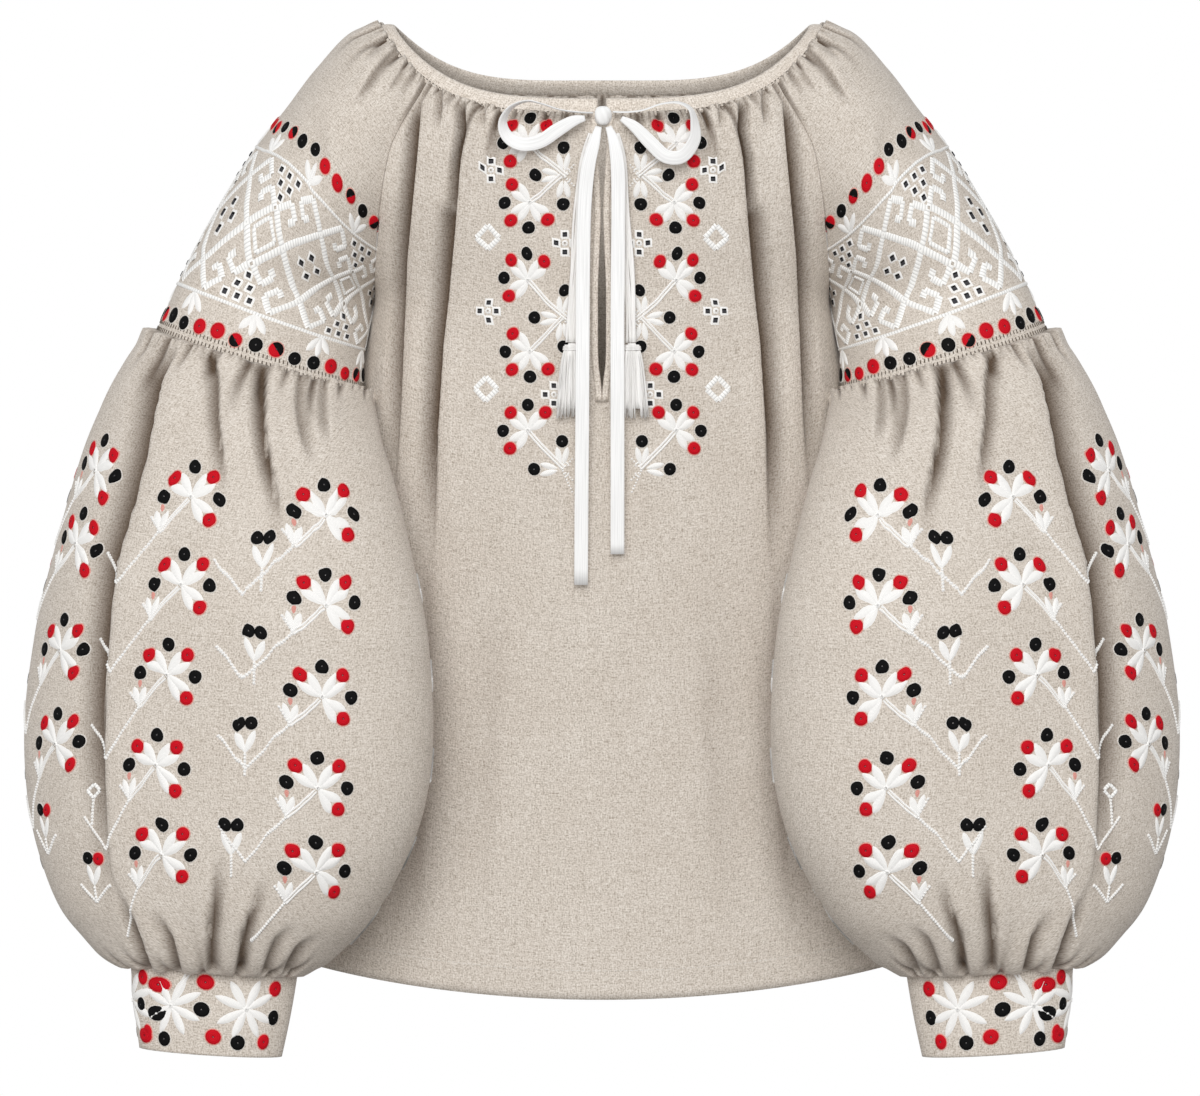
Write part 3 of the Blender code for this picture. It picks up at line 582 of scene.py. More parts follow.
# ---------------------------------------------------------------- embroidery
class Chart:
    """A place to sew on: the shown surface of one piece, with its outward directions.
    Its rows are spaced evenly down the cloth, so that a drawing keeps its shape on it."""

    ROWS = 400

    def __init__(self, grid):
        down = lengths_down(grid)
        self.grid = np.empty((self.ROWS, grid.shape[1], 3))
        for column in range(grid.shape[1]):
            wanted = np.linspace(0.0, down[-1, column], self.ROWS)
            for axis in range(3):
                self.grid[:, column, axis] = np.interp(wanted, down[:, column], grid[:, column, axis])
        self.out = outward(self.grid)

    def at(self, row, column, lift):
        """Points on the cloth at fractional rows and columns, lifted off it."""
        row, column, lift = np.broadcast_arrays(row, column, lift)
        direction = unit(between(self.out, row, column))
        return between(self.grid, row, column) + direction * lift[..., None]

    def find(self, x, z, facing=-1):
        """The row and column of the front point nearest to that x and z."""
        gap = (self.grid[..., 0] - x) ** 2 + (self.grid[..., 2] - z) ** 2
        gap = np.where(self.out[..., 1] * facing > 0.05, gap, 9)
        row, column = np.unravel_index(np.argmin(gap), gap.shape)
        row = float(min(max(row, 1), len(self.grid) - 2))
        column = float(min(max(column, 1), self.grid.shape[1] - 2))
        for _ in range(3):
            here = self.at(row, column, 0.0)
            by_row = self.at(row + 0.5, column, 0.0) - self.at(row - 0.5, column, 0.0)
            by_column = self.at(row, column + 0.5, 0.0) - self.at(row, column - 0.5, 0.0)
            matrix = np.array([[by_row[0], by_column[0]], [by_row[2], by_column[2]]])
            step = np.linalg.lstsq(matrix, np.array([x - here[0], z - here[2]]), rcond=None)[0]
            row += float(np.clip(step[0], -2, 2))
            column += float(np.clip(step[1], -2, 2))
        return row, column


class Spot:
    """A small flat drawing board laid on a chart: u to the right, v up, in metres."""

    def __init__(self, chart, row, column):
        self.chart = chart
        self.row = row
        self.column = column
        here = 4.0
        by_row = (chart.at(row + here, column, 0.0) - chart.at(row - here, column, 0.0)) / (2 * here)
        by_column = (chart.at(row, column + here, 0.0) - chart.at(row, column - here, 0.0)) / (2 * here)
        out = unit(np.cross(by_row, by_column))
        up = unit(np.array((0.0, 0.0, 1.0)) - out * out[2])
        right = np.cross(up, out)
        self.right = right
        self.up = up / max(up[2], 0.55)
        self.back = np.linalg.pinv(np.stack([by_row, by_column], axis=1))

    def at(self, u, v, lift):
        u, v, lift = np.broadcast_arrays(u, v, lift)
        steps = u[..., None] * self.right + v[..., None] * self.up
        moves = steps @ self.back.T
        return self.chart.at(self.row + moves[..., 0], self.column + moves[..., 1], lift)


class Belt:
    """A drawing board that runs round a sleeve: u along the cloth from one column, v up across the rows.
    v is measured as it shows from the front, so that the drawing keeps its height where the cloth slants."""

    RANKS = 97

    def __init__(self, chart, row_top, row_bottom, height, column):
        self.chart = chart
        grid = chart.grid
        steps = np.linalg.norm(np.diff(grid[int(round((row_top + row_bottom) / 2))], axis=0), axis=1)
        self.along = np.concatenate([[0], np.cumsum(steps)])
        self.start = np.interp(column, np.arange(len(self.along)), self.along)
        drops = np.hypot(*np.diff(grid[..., (0, 2)], axis=0).transpose(2, 0, 1))
        drops = np.concatenate([np.zeros((1, grid.shape[1])), np.cumsum(drops, axis=0)])
        numbers = np.arange(len(grid))
        self.heights = np.linspace(-1.2 * height, 1.2 * height, self.RANKS)
        self.rows = np.empty((self.RANKS, grid.shape[1]))
        for place in range(grid.shape[1]):
            top = np.interp(row_top, numbers, drops[:, place])
            bottom = np.interp(row_bottom, numbers, drops[:, place])
            wanted = (top + bottom) / 2 - self.heights / height * (bottom - top)
            self.rows[:, place] = np.interp(wanted, drops[:, place], numbers)

    def at(self, u, v, lift):
        u, v, lift = np.broadcast_arrays(u, v, lift)
        column = np.interp(self.start + u, self.along, np.arange(len(self.along)))
        rank = np.interp(v, self.heights, np.arange(self.RANKS))
        return self.chart.at(between(self.rows, rank, column), column, lift)

    def ends(self):
        return -self.start, self.along[-1] - self.start


class Sash:
    """A drawing board along a slanting band: v up a straight line of places, u along the cloth from it."""

    RANKS = 81
    SPAN = 0.30

    def __init__(self, chart, centre, slant, reach):
        self.chart = chart
        slant = np.radians(slant)
        marks = np.linspace(-reach, reach, 9)
        found = [chart.find(centre[0] - v * np.sin(slant), centre[1] + v * np.cos(slant)) for v in marks]
        self.heights = np.linspace(-reach, reach, self.RANKS)
        self.rows = np.interp(self.heights, marks, [row for row, _ in found])
        middle = np.interp(self.heights, marks, [column for _, column in found])
        lengths = lengths_across(chart.grid)
        numbers = np.arange(lengths.shape[1])
        self.reaches = np.linspace(-self.SPAN, self.SPAN, 601)
        self.columns = np.empty((self.RANKS, len(self.reaches)))
        for rank, row in enumerate(self.rows):
            part = row - int(row)
            along = lengths[int(row)] * (1 - part) + lengths[int(row) + 1] * part
            base = np.interp(middle[rank], numbers, along)
            self.columns[rank] = np.interp(base + self.reaches, along, numbers)
            if rank == self.RANKS // 2:
                self.limits = (-base, along[-1] - base)

    def at(self, u, v, lift):
        u, v, lift = np.broadcast_arrays(u, v, lift)
        rank = np.interp(v, self.heights, np.arange(self.RANKS))
        place = np.interp(u, self.reaches, np.arange(len(self.reaches)))
        column = between(self.columns, rank, place)
        return self.chart.at(np.interp(v, self.heights, self.rows), column, lift)

    def ends(self):
        return self.limits


class Kit:
    """Threads collected by colour, for a few joined meshes."""

    def __init__(self):
        self.work = {}

    def grid(self, colour, points, uv):
        """A small sheet of thread between rows of points."""
        rows, columns = points.shape[:2]
        numbers = np.arange(rows * columns).reshape(rows, columns)
        corners = np.stack([numbers[:-1, :-1], numbers[1:, :-1], numbers[1:, 1:], numbers[:-1, 1:]], axis=-1)
        self.add(colour, points.reshape(-1, 3), corners.reshape(-1, 4), uv.reshape(-1, 2))

    def add(self, colour, points, faces, uv):
        entry = self.work.setdefault(colour, [[], [], [], 0])
        entry[0].append(points)
        entry[1] += [[int(spot) + entry[3] for spot in face] for face in faces]
        entry[2].append(uv)
        entry[3] += len(points)

    def build(self, name, materials, mirror):
        """One mesh for each colour; mirror puts them on the -X side."""
        made = []
        for colour in sorted(self.work):
            points, faces, uv, _ = self.work[colour]
            points = np.concatenate(points)
            if mirror:
                points = points * (-1, 1, 1)
                faces = [face[::-1] for face in faces]
            made.append(make_mesh(name + "_" + colour, points, faces, materials[colour], np.concatenate(uv)))
        return made


DOT_SIDES = 14
DOT_HEIGHT = 0.0009


def disc(kit, colour, board, u, v, radius):
    """A round satin dot, a little domed, with a small dimple in the middle."""
    turns = np.linspace(0, 2 * np.pi, DOT_SIDES + 1)
    shares = np.array((0.05, 0.14, 0.5, 0.86, 1.0))[:, None]
    lifts = np.array((0.45, 1.0, 0.95, 0.75, -0.25))[:, None] * DOT_HEIGHT
    points = board.at(u + radius * shares * np.cos(turns), v + radius * shares * np.sin(turns), lifts)
    uv = np.stack(np.broadcast_arrays(turns * radius * 0.6, shares * radius), axis=-1)
    kit.grid(colour, points, uv)


def halo(kit, colour, board, u, v, radius, width=0.0006, height=0.0003, sides=14):
    """The thin outline of thread round a dot."""
    turns = np.linspace(0, 2 * np.pi, sides + 1)
    shares = np.array((radius - 0.4 * width, radius + 0.3 * width, radius + width))[:, None]
    lifts = np.array((height, height, -0.0002))[:, None]
    points = board.at(u + shares * np.cos(turns), v + shares * np.sin(turns), lifts)
    uv = np.stack(np.broadcast_arrays(turns * radius, shares), axis=-1)
    kit.grid(colour, points, uv)


def dot(kit, board, u, v, radius, colour):
    """A satin dot with its thin outline."""
    halo(kit, "rose" if colour == "red" else "pale", board, u, v, radius)
    disc(kit, colour, board, u, v, radius)


def half_dot(kit, board, u, v, radius, turn):
    """A dot that is half red and half black, as along the insets."""
    halo(kit, "rose", board, u, v, radius)
    for colour, start in (("red", turn), ("black", turn + 180)):
        turns = np.radians(np.linspace(start, start + 180, 9))
        shares = np.array((0.02, 0.5, 0.86, 1.0))[:, None]
        lifts = np.array((1.0, 0.95, 0.75, -0.25))[:, None] * DOT_HEIGHT
        points = board.at(u + radius * shares * np.cos(turns), v + radius * shares * np.sin(turns), lifts)
        kit.grid(colour, points, np.stack(np.broadcast_arrays(turns * radius, shares * radius), axis=-1))


def leaf(kit, board, u, v, turn, length, width, colour="white", height=0.0009):
    """A padded satin leaf that starts at u, v and points to turn degrees."""
    turn = np.radians(turn)
    along = np.array((0.0, 0.12, 0.3, 0.5, 0.68, 0.84, 0.95, 1.0))
    half = 0.5 * width * np.array((0.10, 0.48, 0.82, 1.0, 0.96, 0.72, 0.36, 0.08))
    side = np.linspace(-1, 1, 5)
    x = (along * length)[:, None] * np.ones(5)
    y = half[:, None] * side
    fullness = np.minimum(1, half / half.max() * 1.5)[:, None]
    lifts = height * (1 - side ** 2) * fullness - 0.0002 * np.abs(side) ** 2
    right = u + x * np.cos(turn) - y * np.sin(turn)
    above = v + x * np.sin(turn) + y * np.cos(turn)
    points = board.at(right, above, lifts)
    kit.grid(colour, points, np.stack([x - 0.9 * np.abs(y), y], axis=-1))


def line(kit, colour, board, spots, width, height, step=0.0028):
    """A laid cord or flat satin bar along a line of u, v points."""
    spots = np.array(spots, dtype=float)
    lengths = lengths_along(spots)
    count = max(2, int(round(lengths[-1] / step)) + 1)
    places = np.unique(np.concatenate([np.linspace(0, lengths[-1], count), lengths]))
    u = np.interp(places, lengths, spots[:, 0])
    v = np.interp(places, lengths, spots[:, 1])
    ahead = np.stack([np.gradient(u), np.gradient(v)], axis=-1)
    ahead = unit(ahead)
    side = np.array((-1.0, -0.62, 0.0, 0.62, 1.0)) * width / 2
    lifts = np.array((-0.25, 0.85, 1.0, 0.85, -0.25)) * height
    x = u[:, None] - ahead[:, 1:] * side
    y = v[:, None] + ahead[:, :1] * side
    points = board.at(x, y, lifts[None, :] * np.ones_like(x))
    uv = np.stack(np.broadcast_arrays(places[:, None], side[None, :]), axis=-1)
    kit.grid(colour, points, uv)


def bars(kit, board, spots, width=0.0045):
    """A satin bar drawn corner by corner, each leg its own flat strip."""
    for start, end in zip(spots, spots[1:]):
        line(kit, "satin", board, (start, end), width, 0.0007)


STEM_GAP = 0.00093


def double_stem(kit, board, start, end):
    """Two laid threads side by side."""
    ahead = unit(np.array(end, dtype=float) - np.array(start, dtype=float))
    for side in (-1, 1):
        shift = np.array((-ahead[1], ahead[0])) * STEM_GAP * side
        line(kit, "white", board, (np.array(start) + shift, np.array(end) + shift), 0.00155, 0.0009)


def beads(kit, board, spots, size=0.0017, pitch=0.0021):
    """A chain of small knots."""
    spots = np.array(spots, dtype=float)
    lengths = lengths_along(spots)
    for place in np.arange(pitch / 2, lengths[-1], pitch):
        u = np.interp(place, lengths, spots[:, 0])
        v = np.interp(place, lengths, spots[:, 1])
        bead(kit, board, u, v, size / 2)


def bead(kit, board, u, v, radius):
    """A small round knot of white thread."""
    turns = np.linspace(0, 2 * np.pi, 8)[:-1]
    shares = np.concatenate([[0], np.full(7, 0.6), np.full(7, 1.0)])
    lifts = np.concatenate([[0.9], np.full(7, 0.7), np.full(7, -0.2)]) * radius
    angles = np.concatenate([[0], turns, turns])
    points = board.at(u + radius * shares * np.cos(angles), v + radius * shares * np.sin(angles), lifts)
    faces = []
    for k in range(7):
        after = (k + 1) % 7
        faces.append((0, 1 + k, 1 + after))
        faces.append((1 + k, 8 + k, 8 + after, 1 + after))
    kit.add("white", points, faces, np.stack([shares * radius, angles * radius], axis=-1))


def patch(kit, colour, board, u, v, half, height, pinch):
    """A small square of satin with sides that may be pinched in."""
    side = np.array((-1.0, -0.55, 0.55, 1.0))
    x, y = np.meshgrid(side, side)
    shrink_x = 1 - pinch * (1 - np.abs(y)) * (np.abs(x) > 0.9)
    shrink_y = 1 - pinch * (1 - np.abs(x)) * (np.abs(y) > 0.9)
    edge = np.maximum(np.abs(x), np.abs(y)) > 0.9
    lifts = np.where(edge, -0.0002, height)
    x = x * shrink_x * half
    y = y * shrink_y * half
    points = board.at(u + x, v + y, lifts)
    kit.grid(colour, points[::-1], np.stack([x, y], axis=-1)[::-1])


def tile(kit, board, u, v, half):
    """A black square on a white one whose sides are pinched in."""
    patch(kit, "white", board, u, v, half + 0.0016, 0.0004, 0.25)
    patch(kit, "black", board, u, v, half, 0.0009, 0.10)


def flower(kit, board, turn, leaf_length, leaf_width, dot_ring, dot_radius, spread):
    """Three pairs of leaves round a knot, open towards turn, with five dots at their tips."""
    for side in (-90, 0, 90):
        for lean in (-spread, spread):
            leaf(kit, board, 0.0, 0.0, turn + side + lean, leaf_length, leaf_width)
    halo(kit, "white", board, 0.0, 0.0, 0.0010, 0.0007, 0.0012, sides=10)
    for number, angle in enumerate((-90, -45, 0, 45, 90)):
        around = np.radians(turn + angle)
        colour = "red" if number % 2 == 0 else "black"
        dot(kit, board, dot_ring * np.cos(around), dot_ring * np.sin(around), dot_radius, colour)


def bud(kit, board, u, v, turn, reach, leaf_length, leaf_width, dot_radius, spread=17.0, start=0.0):
    """Two leaves and the dot they hold, with a rose wedge between leaves that start at the node."""
    for lean in (-spread, spread):
        away = np.radians(turn + lean)
        leaf(kit, board, u + start * np.cos(away), v + start * np.sin(away), turn + lean,
             leaf_length, leaf_width)
    around = np.radians(turn)
    near = reach - dot_radius - 0.0050
    if start == 0.0:
        leaf(kit, board, u + near * np.cos(around), v + near * np.sin(around), turn,
             0.0055, 0.0036, "rose", 0.0004)
    dot(kit, board, u + reach * np.cos(around), v + reach * np.sin(around), dot_radius, "black")


def cross(kit, board):
    """A round white knot with a black square on each side."""
    halo(kit, "white", board, 0.0, 0.0, 0.0012, 0.0010, 0.0007)
    for u, v in ((0.0057, 0), (-0.0057, 0), (0, 0.0057), (0, -0.0057)):
        tile(kit, board, u, v, 0.0021)


def diamond(kit, board, half=0.0076, width=0.0038):
    """An open diamond of four satin bars."""
    corners = [(half * np.cos(k * np.pi / 2), half * np.sin(k * np.pi / 2)) for k in range(5)]
    bars(kit, board, corners, width)


def stitches(kit, colour, board_at, places, length, width, lift, turn=0.0):
    """Short straight stitches; board_at gives the points for an offset along and across the line."""
    for place in places:
        along = np.array((-0.5, -0.2, 0.2, 0.5)) * length
        side = np.array((-0.5, 0.0, 0.5)) * width
        x, y = np.meshgrid(along, side, indexing="ij")
        lean = np.radians(turn)
        lifts = np.where(np.abs(y) > 0, -0.0001, lift) * np.ones_like(x)
        right = place + x * np.cos(lean) - y * np.sin(lean)
        above = x * np.sin(lean) + y * np.cos(lean)
        points = board_at(right, above, lifts)
        kit.grid(colour, points, np.stack([x, y], axis=-1))


# ---------------------------------------------------------------- ribbon, cords and tassels
def swept(path, across, through, half_width, half_depth, sides=12, squareness=0.5):
    """Rings of points round a path: a flat oval whose half sizes may change along it."""
    turns = np.linspace(0, 2 * np.pi, sides, endpoint=False)
    wide = np.sign(np.cos(turns)) * np.abs(np.cos(turns)) ** squareness
    deep = np.sign(np.sin(turns)) * np.abs(np.sin(turns)) ** squareness
    sideways = across[:, None] * (wide[None, :, None] * half_width[:, None, None])
    upwards = through[:, None] * (deep[None, :, None] * half_depth[:, None, None])
    return path[:, None] + sideways + upwards


def closed_faces(rings, sides, start=0):
    """Faces of a swept body with both ends capped."""
    faces = []
    for i in range(rings - 1):
        for j in range(sides):
            k = (j + 1) % sides
            low = start + i * sides
            faces.append([low + j, low + k, low + sides + k, low + sides + j])
    last = start + (rings - 1) * sides
    faces.append([start + j for j in reversed(range(sides))])
    faces.append([last + j for j in range(sides)])
    return faces


def directions_along(path, turns):
    """The width and depth directions of a ribbon; turn 0 lays its width along Y."""
    ahead = unit(np.gradient(path, axis=0))
    in_plane = unit(np.cross(ahead, (0.0, 1.0, 0.0)))
    turns = np.radians(turns)[:, None]
    across = np.cos(turns) * np.array((0.0, 1.0, 0.0)) + np.sin(turns) * in_plane
    across = unit(across - ahead * np.sum(across * ahead, axis=1, keepdims=True))
    return across, unit(np.cross(ahead, across))


def ribbon(name, path, turns, shares, material, curl=0.0):
    """A flat satin ribbon with soft edges and a slight cupping across its width."""
    steps = 6
    dense = rounded(path, steps)
    turns = rounded(np.array(turns, dtype=float)[:, None], steps)[:, 0]
    shares = rounded(np.array(shares, dtype=float)[:, None], steps)[:, 0]
    across, through = directions_along(dense, turns)
    half_width = RIBBON_WIDTH / 2 * shares
    half_depth = np.full(len(dense), RIBBON_WALL * 0.45)
    sides = 20
    rings = swept(dense, across, through, half_width, half_depth, sides, 0.35)
    span = np.sum((rings - dense[:, None]) * across[:, None], axis=2) / half_width[:, None]
    ridge = 0.00022 * np.cos(span * 9) + curl * (span ** 2 - 0.4)
    rings = rings + through[:, None] * ridge[..., None]
    lengths = lengths_along(dense)
    uv = np.stack(np.broadcast_arrays(lengths[:, None], span * RIBBON_WIDTH / 2), axis=-1)
    faces = closed_faces(len(dense), sides)
    piece = make_mesh(name, rings.reshape(-1, 3), faces, material, uv.reshape(-1, 2))
    return piece, dense, lengths[-1]


def yarn_bundle(name, path, shares, count, spread, radius, material, seed):
    """Soft yarns that run side by side along a path, crossing a little as they go."""
    picks = np.random.default_rng(seed)
    dense = rounded(path, 7)
    shares = rounded(np.array(shares, dtype=float)[:, None], 7)[:, 0]
    across, through = directions_along(dense, np.full(len(dense), 90.0))
    lengths = lengths_along(dense)
    points = []
    faces = []
    for number in range(count):
        base = (number + 0.5) / count * 2 - 1
        phase = picks.uniform(0, 6.28)
        sway = 0.16 * np.sin(lengths / 0.013 + phase)
        side = (base + sway)[:, None] * across * (spread * shares)[:, None]
        rise = np.cos(lengths / 0.011 + phase)[:, None] * through * 0.0004
        centre = dense + side + rise
        thick = np.full(len(dense), radius)
        rings = swept(centre, across, through, thick, thick, 6, 1.0)
        faces += closed_faces(len(dense), 6, sum(len(part) for part in points))
        points.append(rings.reshape(-1, 3))
    piece = make_mesh(name, np.concatenate(points), faces, material)
    return piece, dense, lengths[-1]


def tassel(name, side, material, seed):
    """A bunch of fine threads that spreads downward to a ragged end, with a wound head."""
    picks = np.random.default_rng(seed)
    table = np.array(TASSEL_RINGS)
    points = []
    faces = []
    total = 0

    def put(rings, sides):
        nonlocal total
        faces.extend(closed_faces(len(rings), sides, total))
        points.append(rings.reshape(-1, 3))
        total += rings.shape[0] * sides

    def section(z, shrink):
        x = np.interp(-z, -table[:, 1], table[:, 0])
        wide = np.interp(-z, -table[:, 1], table[:, 2]) * shrink
        deep = np.interp(-z, -table[:, 1], table[:, 3]) * shrink
        return np.stack([side * x, np.full_like(z, TASSEL_Y), z], axis=-1), wide, deep

    right = np.array((1.0, 0.0, 0.0))
    front = np.array((0.0, 1.0, 0.0))
    z = np.linspace(TASSEL_RINGS[0][1], TASSEL_RINGS[-1][1] + 0.006, 9)
    middle, wide, deep = section(z, 0.80)
    around = np.tile(right, (9, 1)), np.tile(front, (9, 1))
    put(swept(middle, *around, wide, deep, 16, 1.0), 16)
    for _ in range(TASSEL_THREADS):
        turn = picks.uniform(0, 2 * np.pi)
        out = np.sqrt(picks.uniform(0.45, 1.0))
        low = TASSEL_RINGS[-1][1] + picks.uniform(-0.0005, 0.009)
        z = np.linspace(TASSEL_RINGS[0][1] - 0.0015, low, 7)
        middle, wide, deep = section(z, out)
        sway = picks.uniform(-0.0006, 0.0006) * np.sin(np.linspace(0, 3, 7) + turn)
        middle[:, 0] += wide * np.cos(turn) + sway
        middle[:, 1] += deep * np.sin(turn)
        thick = np.full(7, picks.uniform(0.00030, 0.00042))
        put(swept(middle, np.tile(right, (7, 1)), np.tile(front, (7, 1)), thick, thick, 4, 1.0), 4)
    for z_wrap in TASSEL_WRAPS:
        middle, wide, deep = section(np.array([z_wrap]), 1.0)
        turns = np.linspace(0, 2 * np.pi, 25)
        spots = middle + np.stack([wide * np.cos(turns), deep * np.sin(turns), 0 * turns], axis=-1)
        outside = unit(np.stack([np.cos(turns), np.sin(turns), 0 * turns], axis=-1))
        up = np.tile((0.0, 0.0, 1.0), (25, 1))
        put(swept(spots, outside, up, np.full(25, 0.0006), np.full(25, 0.0005), 6, 1.0), 6)
    return make_mesh(name, np.concatenate(points), faces, material)


def knot(name, material):
    """The ribbon's knot: a small pillow with pinched top and folds running down."""
    turns = np.linspace(0, 2 * np.pi, 41)[:-1]
    rings = []
    for tilt in np.radians(np.linspace(-86, 86, 17)):
        fold = 1 + 0.07 * np.cos(turns * 5 + 2.5 * np.sin(tilt))
        ring_x = KNOT_CENTRE[0] + KNOT_HALF_SIZE[0] * 0.92 * np.cos(tilt) ** 0.7 * np.cos(turns) * fold
        ring_y = KNOT_CENTRE[1] + KNOT_HALF_SIZE[1] * 1.05 * np.cos(tilt) ** 0.7 * np.sin(turns) * fold
        ring_z = np.full(40, KNOT_CENTRE[2] + KNOT_HALF_SIZE[2] * 1.05 * np.sin(tilt))
        rings.append(np.stack([ring_x, ring_y, ring_z], axis=-1))
    points = np.array(rings)
    return make_mesh(name, points.reshape(-1, 3), closed_faces(17, 40), material)


# ---------------------------------------------------------------- neckband and bindings
def neckband(material):
    """The folded band round the neck, open at the slit, with faint puckers across it."""
    start = np.arcsin(FRONT_ROWS[0, 5] / NECK_HALF_WIDTH)
    turns = np.linspace(start, 2 * np.pi - start, BAND_CELLS + 1)
    low = neck_edge(turns)
    high = neck_edge(turns, top=True)
    up = high - low
    around = np.gradient(low, axis=0)
    out = unit(np.cross(around, up))
    out *= np.sign(np.sum(out * (low - (0.0, NECK_MIDDLE_Y, -0.05)), axis=1, keepdims=True))
    lengths = lengths_along(low)
    picks = np.random.default_rng(11)
    wrinkle = np.zeros(len(lengths))
    for place in np.arange(0.01, lengths[-1], 0.008):
        centre = place + picks.uniform(-0.003, 0.003)
        wrinkle += picks.uniform(0.2, 1.0) * np.exp(-((lengths - centre) / 0.0016) ** 2)
    profile = ((-0.13, 0.0012), (-0.04, 0.0024), (0.10, 0.0021), (0.35, 0.0024), (0.65, 0.0024),
               (0.90, 0.0018), (1.03, 0.0002), (0.95, -0.0014), (0.65, -0.0019), (0.35, -0.0019),
               (0.05, -0.0016), (-0.10, -0.0004))
    rings = []
    for rise, lift in profile:
        dent = 0.0007 * wrinkle * (1 - abs(rise - 0.1)) * np.sign(lift)
        rings.append(low + up * rise + out * (lift - dent)[:, None])
    points = np.stack(rings, axis=1)
    span = np.array([rise for rise, _ in profile]) * 0.0107
    uv = np.stack(np.broadcast_arrays(lengths[:, None], span[None, :]), axis=-1)
    piece = make_mesh("neckband_cloth", points.reshape(-1, 3), closed_faces(len(turns), 12), material,
                      uv.reshape(-1, 2))
    return piece, low, up, out, lengths


def binding(name, half, out, side, material):
    """A narrow folded strip along one edge of the slit, lying on the front."""
    rows = SLIT_END_ROW * STEPS + 1
    shares = np.array((-0.04, 0.0, 0.14, 0.35, 0.65, 0.88, 1.0, 0.98, 0.5, 0.02))
    lifts = np.array((0.0004, 0.0013, 0.0019, 0.0017, 0.0017, 0.0014, 0.0002, -0.0002, -0.0004, -0.0004))
    rings = []
    for number in range(rows):
        row = half[number]
        x = row[0, 0] + shares * BINDING_WIDTH
        y = np.interp(x, row[:, 0], row[:, 1])
        z = np.interp(x, row[:, 0], row[:, 2])
        direction = np.stack([np.interp(x, row[:, 0], out[number, :, k]) for k in range(3)], axis=-1)
        rings.append(np.stack([x, y, z], axis=-1) + direction * lifts[:, None])
    points = np.array(rings) * (side, 1, 1)
    faces = closed_faces(rows, len(shares))
    if side > 0:
        faces = [face[::-1] for face in faces]
    span = np.broadcast_to(shares * BINDING_WIDTH, (rows, len(shares)))
    drop = np.broadcast_to(points[:, :1, 2], span.shape)
    uv = np.stack([drop, span], axis=-1).reshape(-1, 2)
    return make_mesh(name, points.reshape(-1, 3), faces, material, uv)


# ---------------------------------------------------------------- materials
def new_material(name, roughness, sheen=0.0):
    material = bpy.data.materials.new(name)
    material.use_nodes = True
    shader = material.node_tree.nodes["Principled BSDF"]
    shader.inputs["Roughness"].default_value = roughness
    shader.inputs["Sheen Weight"].default_value = sheen
    shader.inputs["Sheen Roughness"].default_value = 0.5
    shader.inputs["Specular IOR Level"].default_value = 0.12
    return material, material.node_tree, shader


def streaks(tree, coordinates, size, detail=2.0):
    """Noise stretched to that size in metres along the two directions of the cloth."""
    mapping = tree.nodes.new("ShaderNodeMapping")
    mapping.inputs["Scale"].default_value = (1 / size[0], 1 / size[1], 1)
    noise = tree.nodes.new("ShaderNodeTexNoise")
    noise.inputs["Scale"].default_value = 1.0
    noise.inputs["Detail"].default_value = detail
    tree.links.new(coordinates, mapping.inputs["Vector"])
    tree.links.new(mapping.outputs["Vector"], noise.inputs["Vector"])
    return noise.outputs["Fac"]


def worked(tree, operation, first, second):
    """One step of arithmetic; the second value may be a number."""
    step = tree.nodes.new("ShaderNodeMath")
    step.operation = operation
    tree.links.new(first, step.inputs[0])
    if isinstance(second, float):
        step.inputs[1].default_value = second
    else:
        tree.links.new(second, step.inputs[1])
    return step.outputs["Value"]


def ramp(tree, value, stops):
    """A colour picked by a value; stops are places and colours."""
    node = tree.nodes.new("ShaderNodeValToRGB")
    while len(node.color_ramp.elements) < len(stops):
        node.color_ramp.elements.new(0.5)
    for element, (place, colour) in zip(node.color_ramp.elements, stops):
        element.position = place
        element.color = (*colour, 1)
    tree.links.new(value, node.inputs["Fac"])
    return node.outputs["Color"]


def blended(tree, mode, amount, first, second):
    mix = tree.nodes.new("ShaderNodeMix")
    mix.data_type = "RGBA"
    mix.blend_type = mode
    if isinstance(amount, float):
        mix.inputs["Factor"].default_value = amount
    else:
        tree.links.new(amount, mix.inputs["Factor"])
    tree.links.new(first, mix.inputs["A"])
    if isinstance(second, tuple):
        mix.inputs["B"].default_value = (*second, 1)
    else:
        tree.links.new(second, mix.inputs["B"])
    return mix.outputs["Result"]


def bumped(tree, shader, height, distance, strength):
    bump = tree.nodes.new("ShaderNodeBump")
    bump.inputs["Distance"].default_value = distance
    bump.inputs["Strength"].default_value = strength
    tree.links.new(height, bump.inputs["Height"])
    tree.links.new(bump.outputs["Normal"], shader.inputs["Normal"])


def cloth_place(tree):
    """The place on the cloth or thread, in metres, from the mesh's own map."""
    place = tree.nodes.new("ShaderNodeUVMap")
    place.uv_map = "UVMap"
    return place.outputs["UV"]


def waves(tree, value, pitch):
    """A wave from 0 to 1 that repeats at that pitch in metres."""
    turns = worked(tree, "MULTIPLY", value, 2 * np.pi / pitch)
    wave = worked(tree, "SINE", turns, 0.0)
    wave = worked(tree, "MULTIPLY", wave, 0.5)
    return worked(tree, "ADD", wave, 0.5)


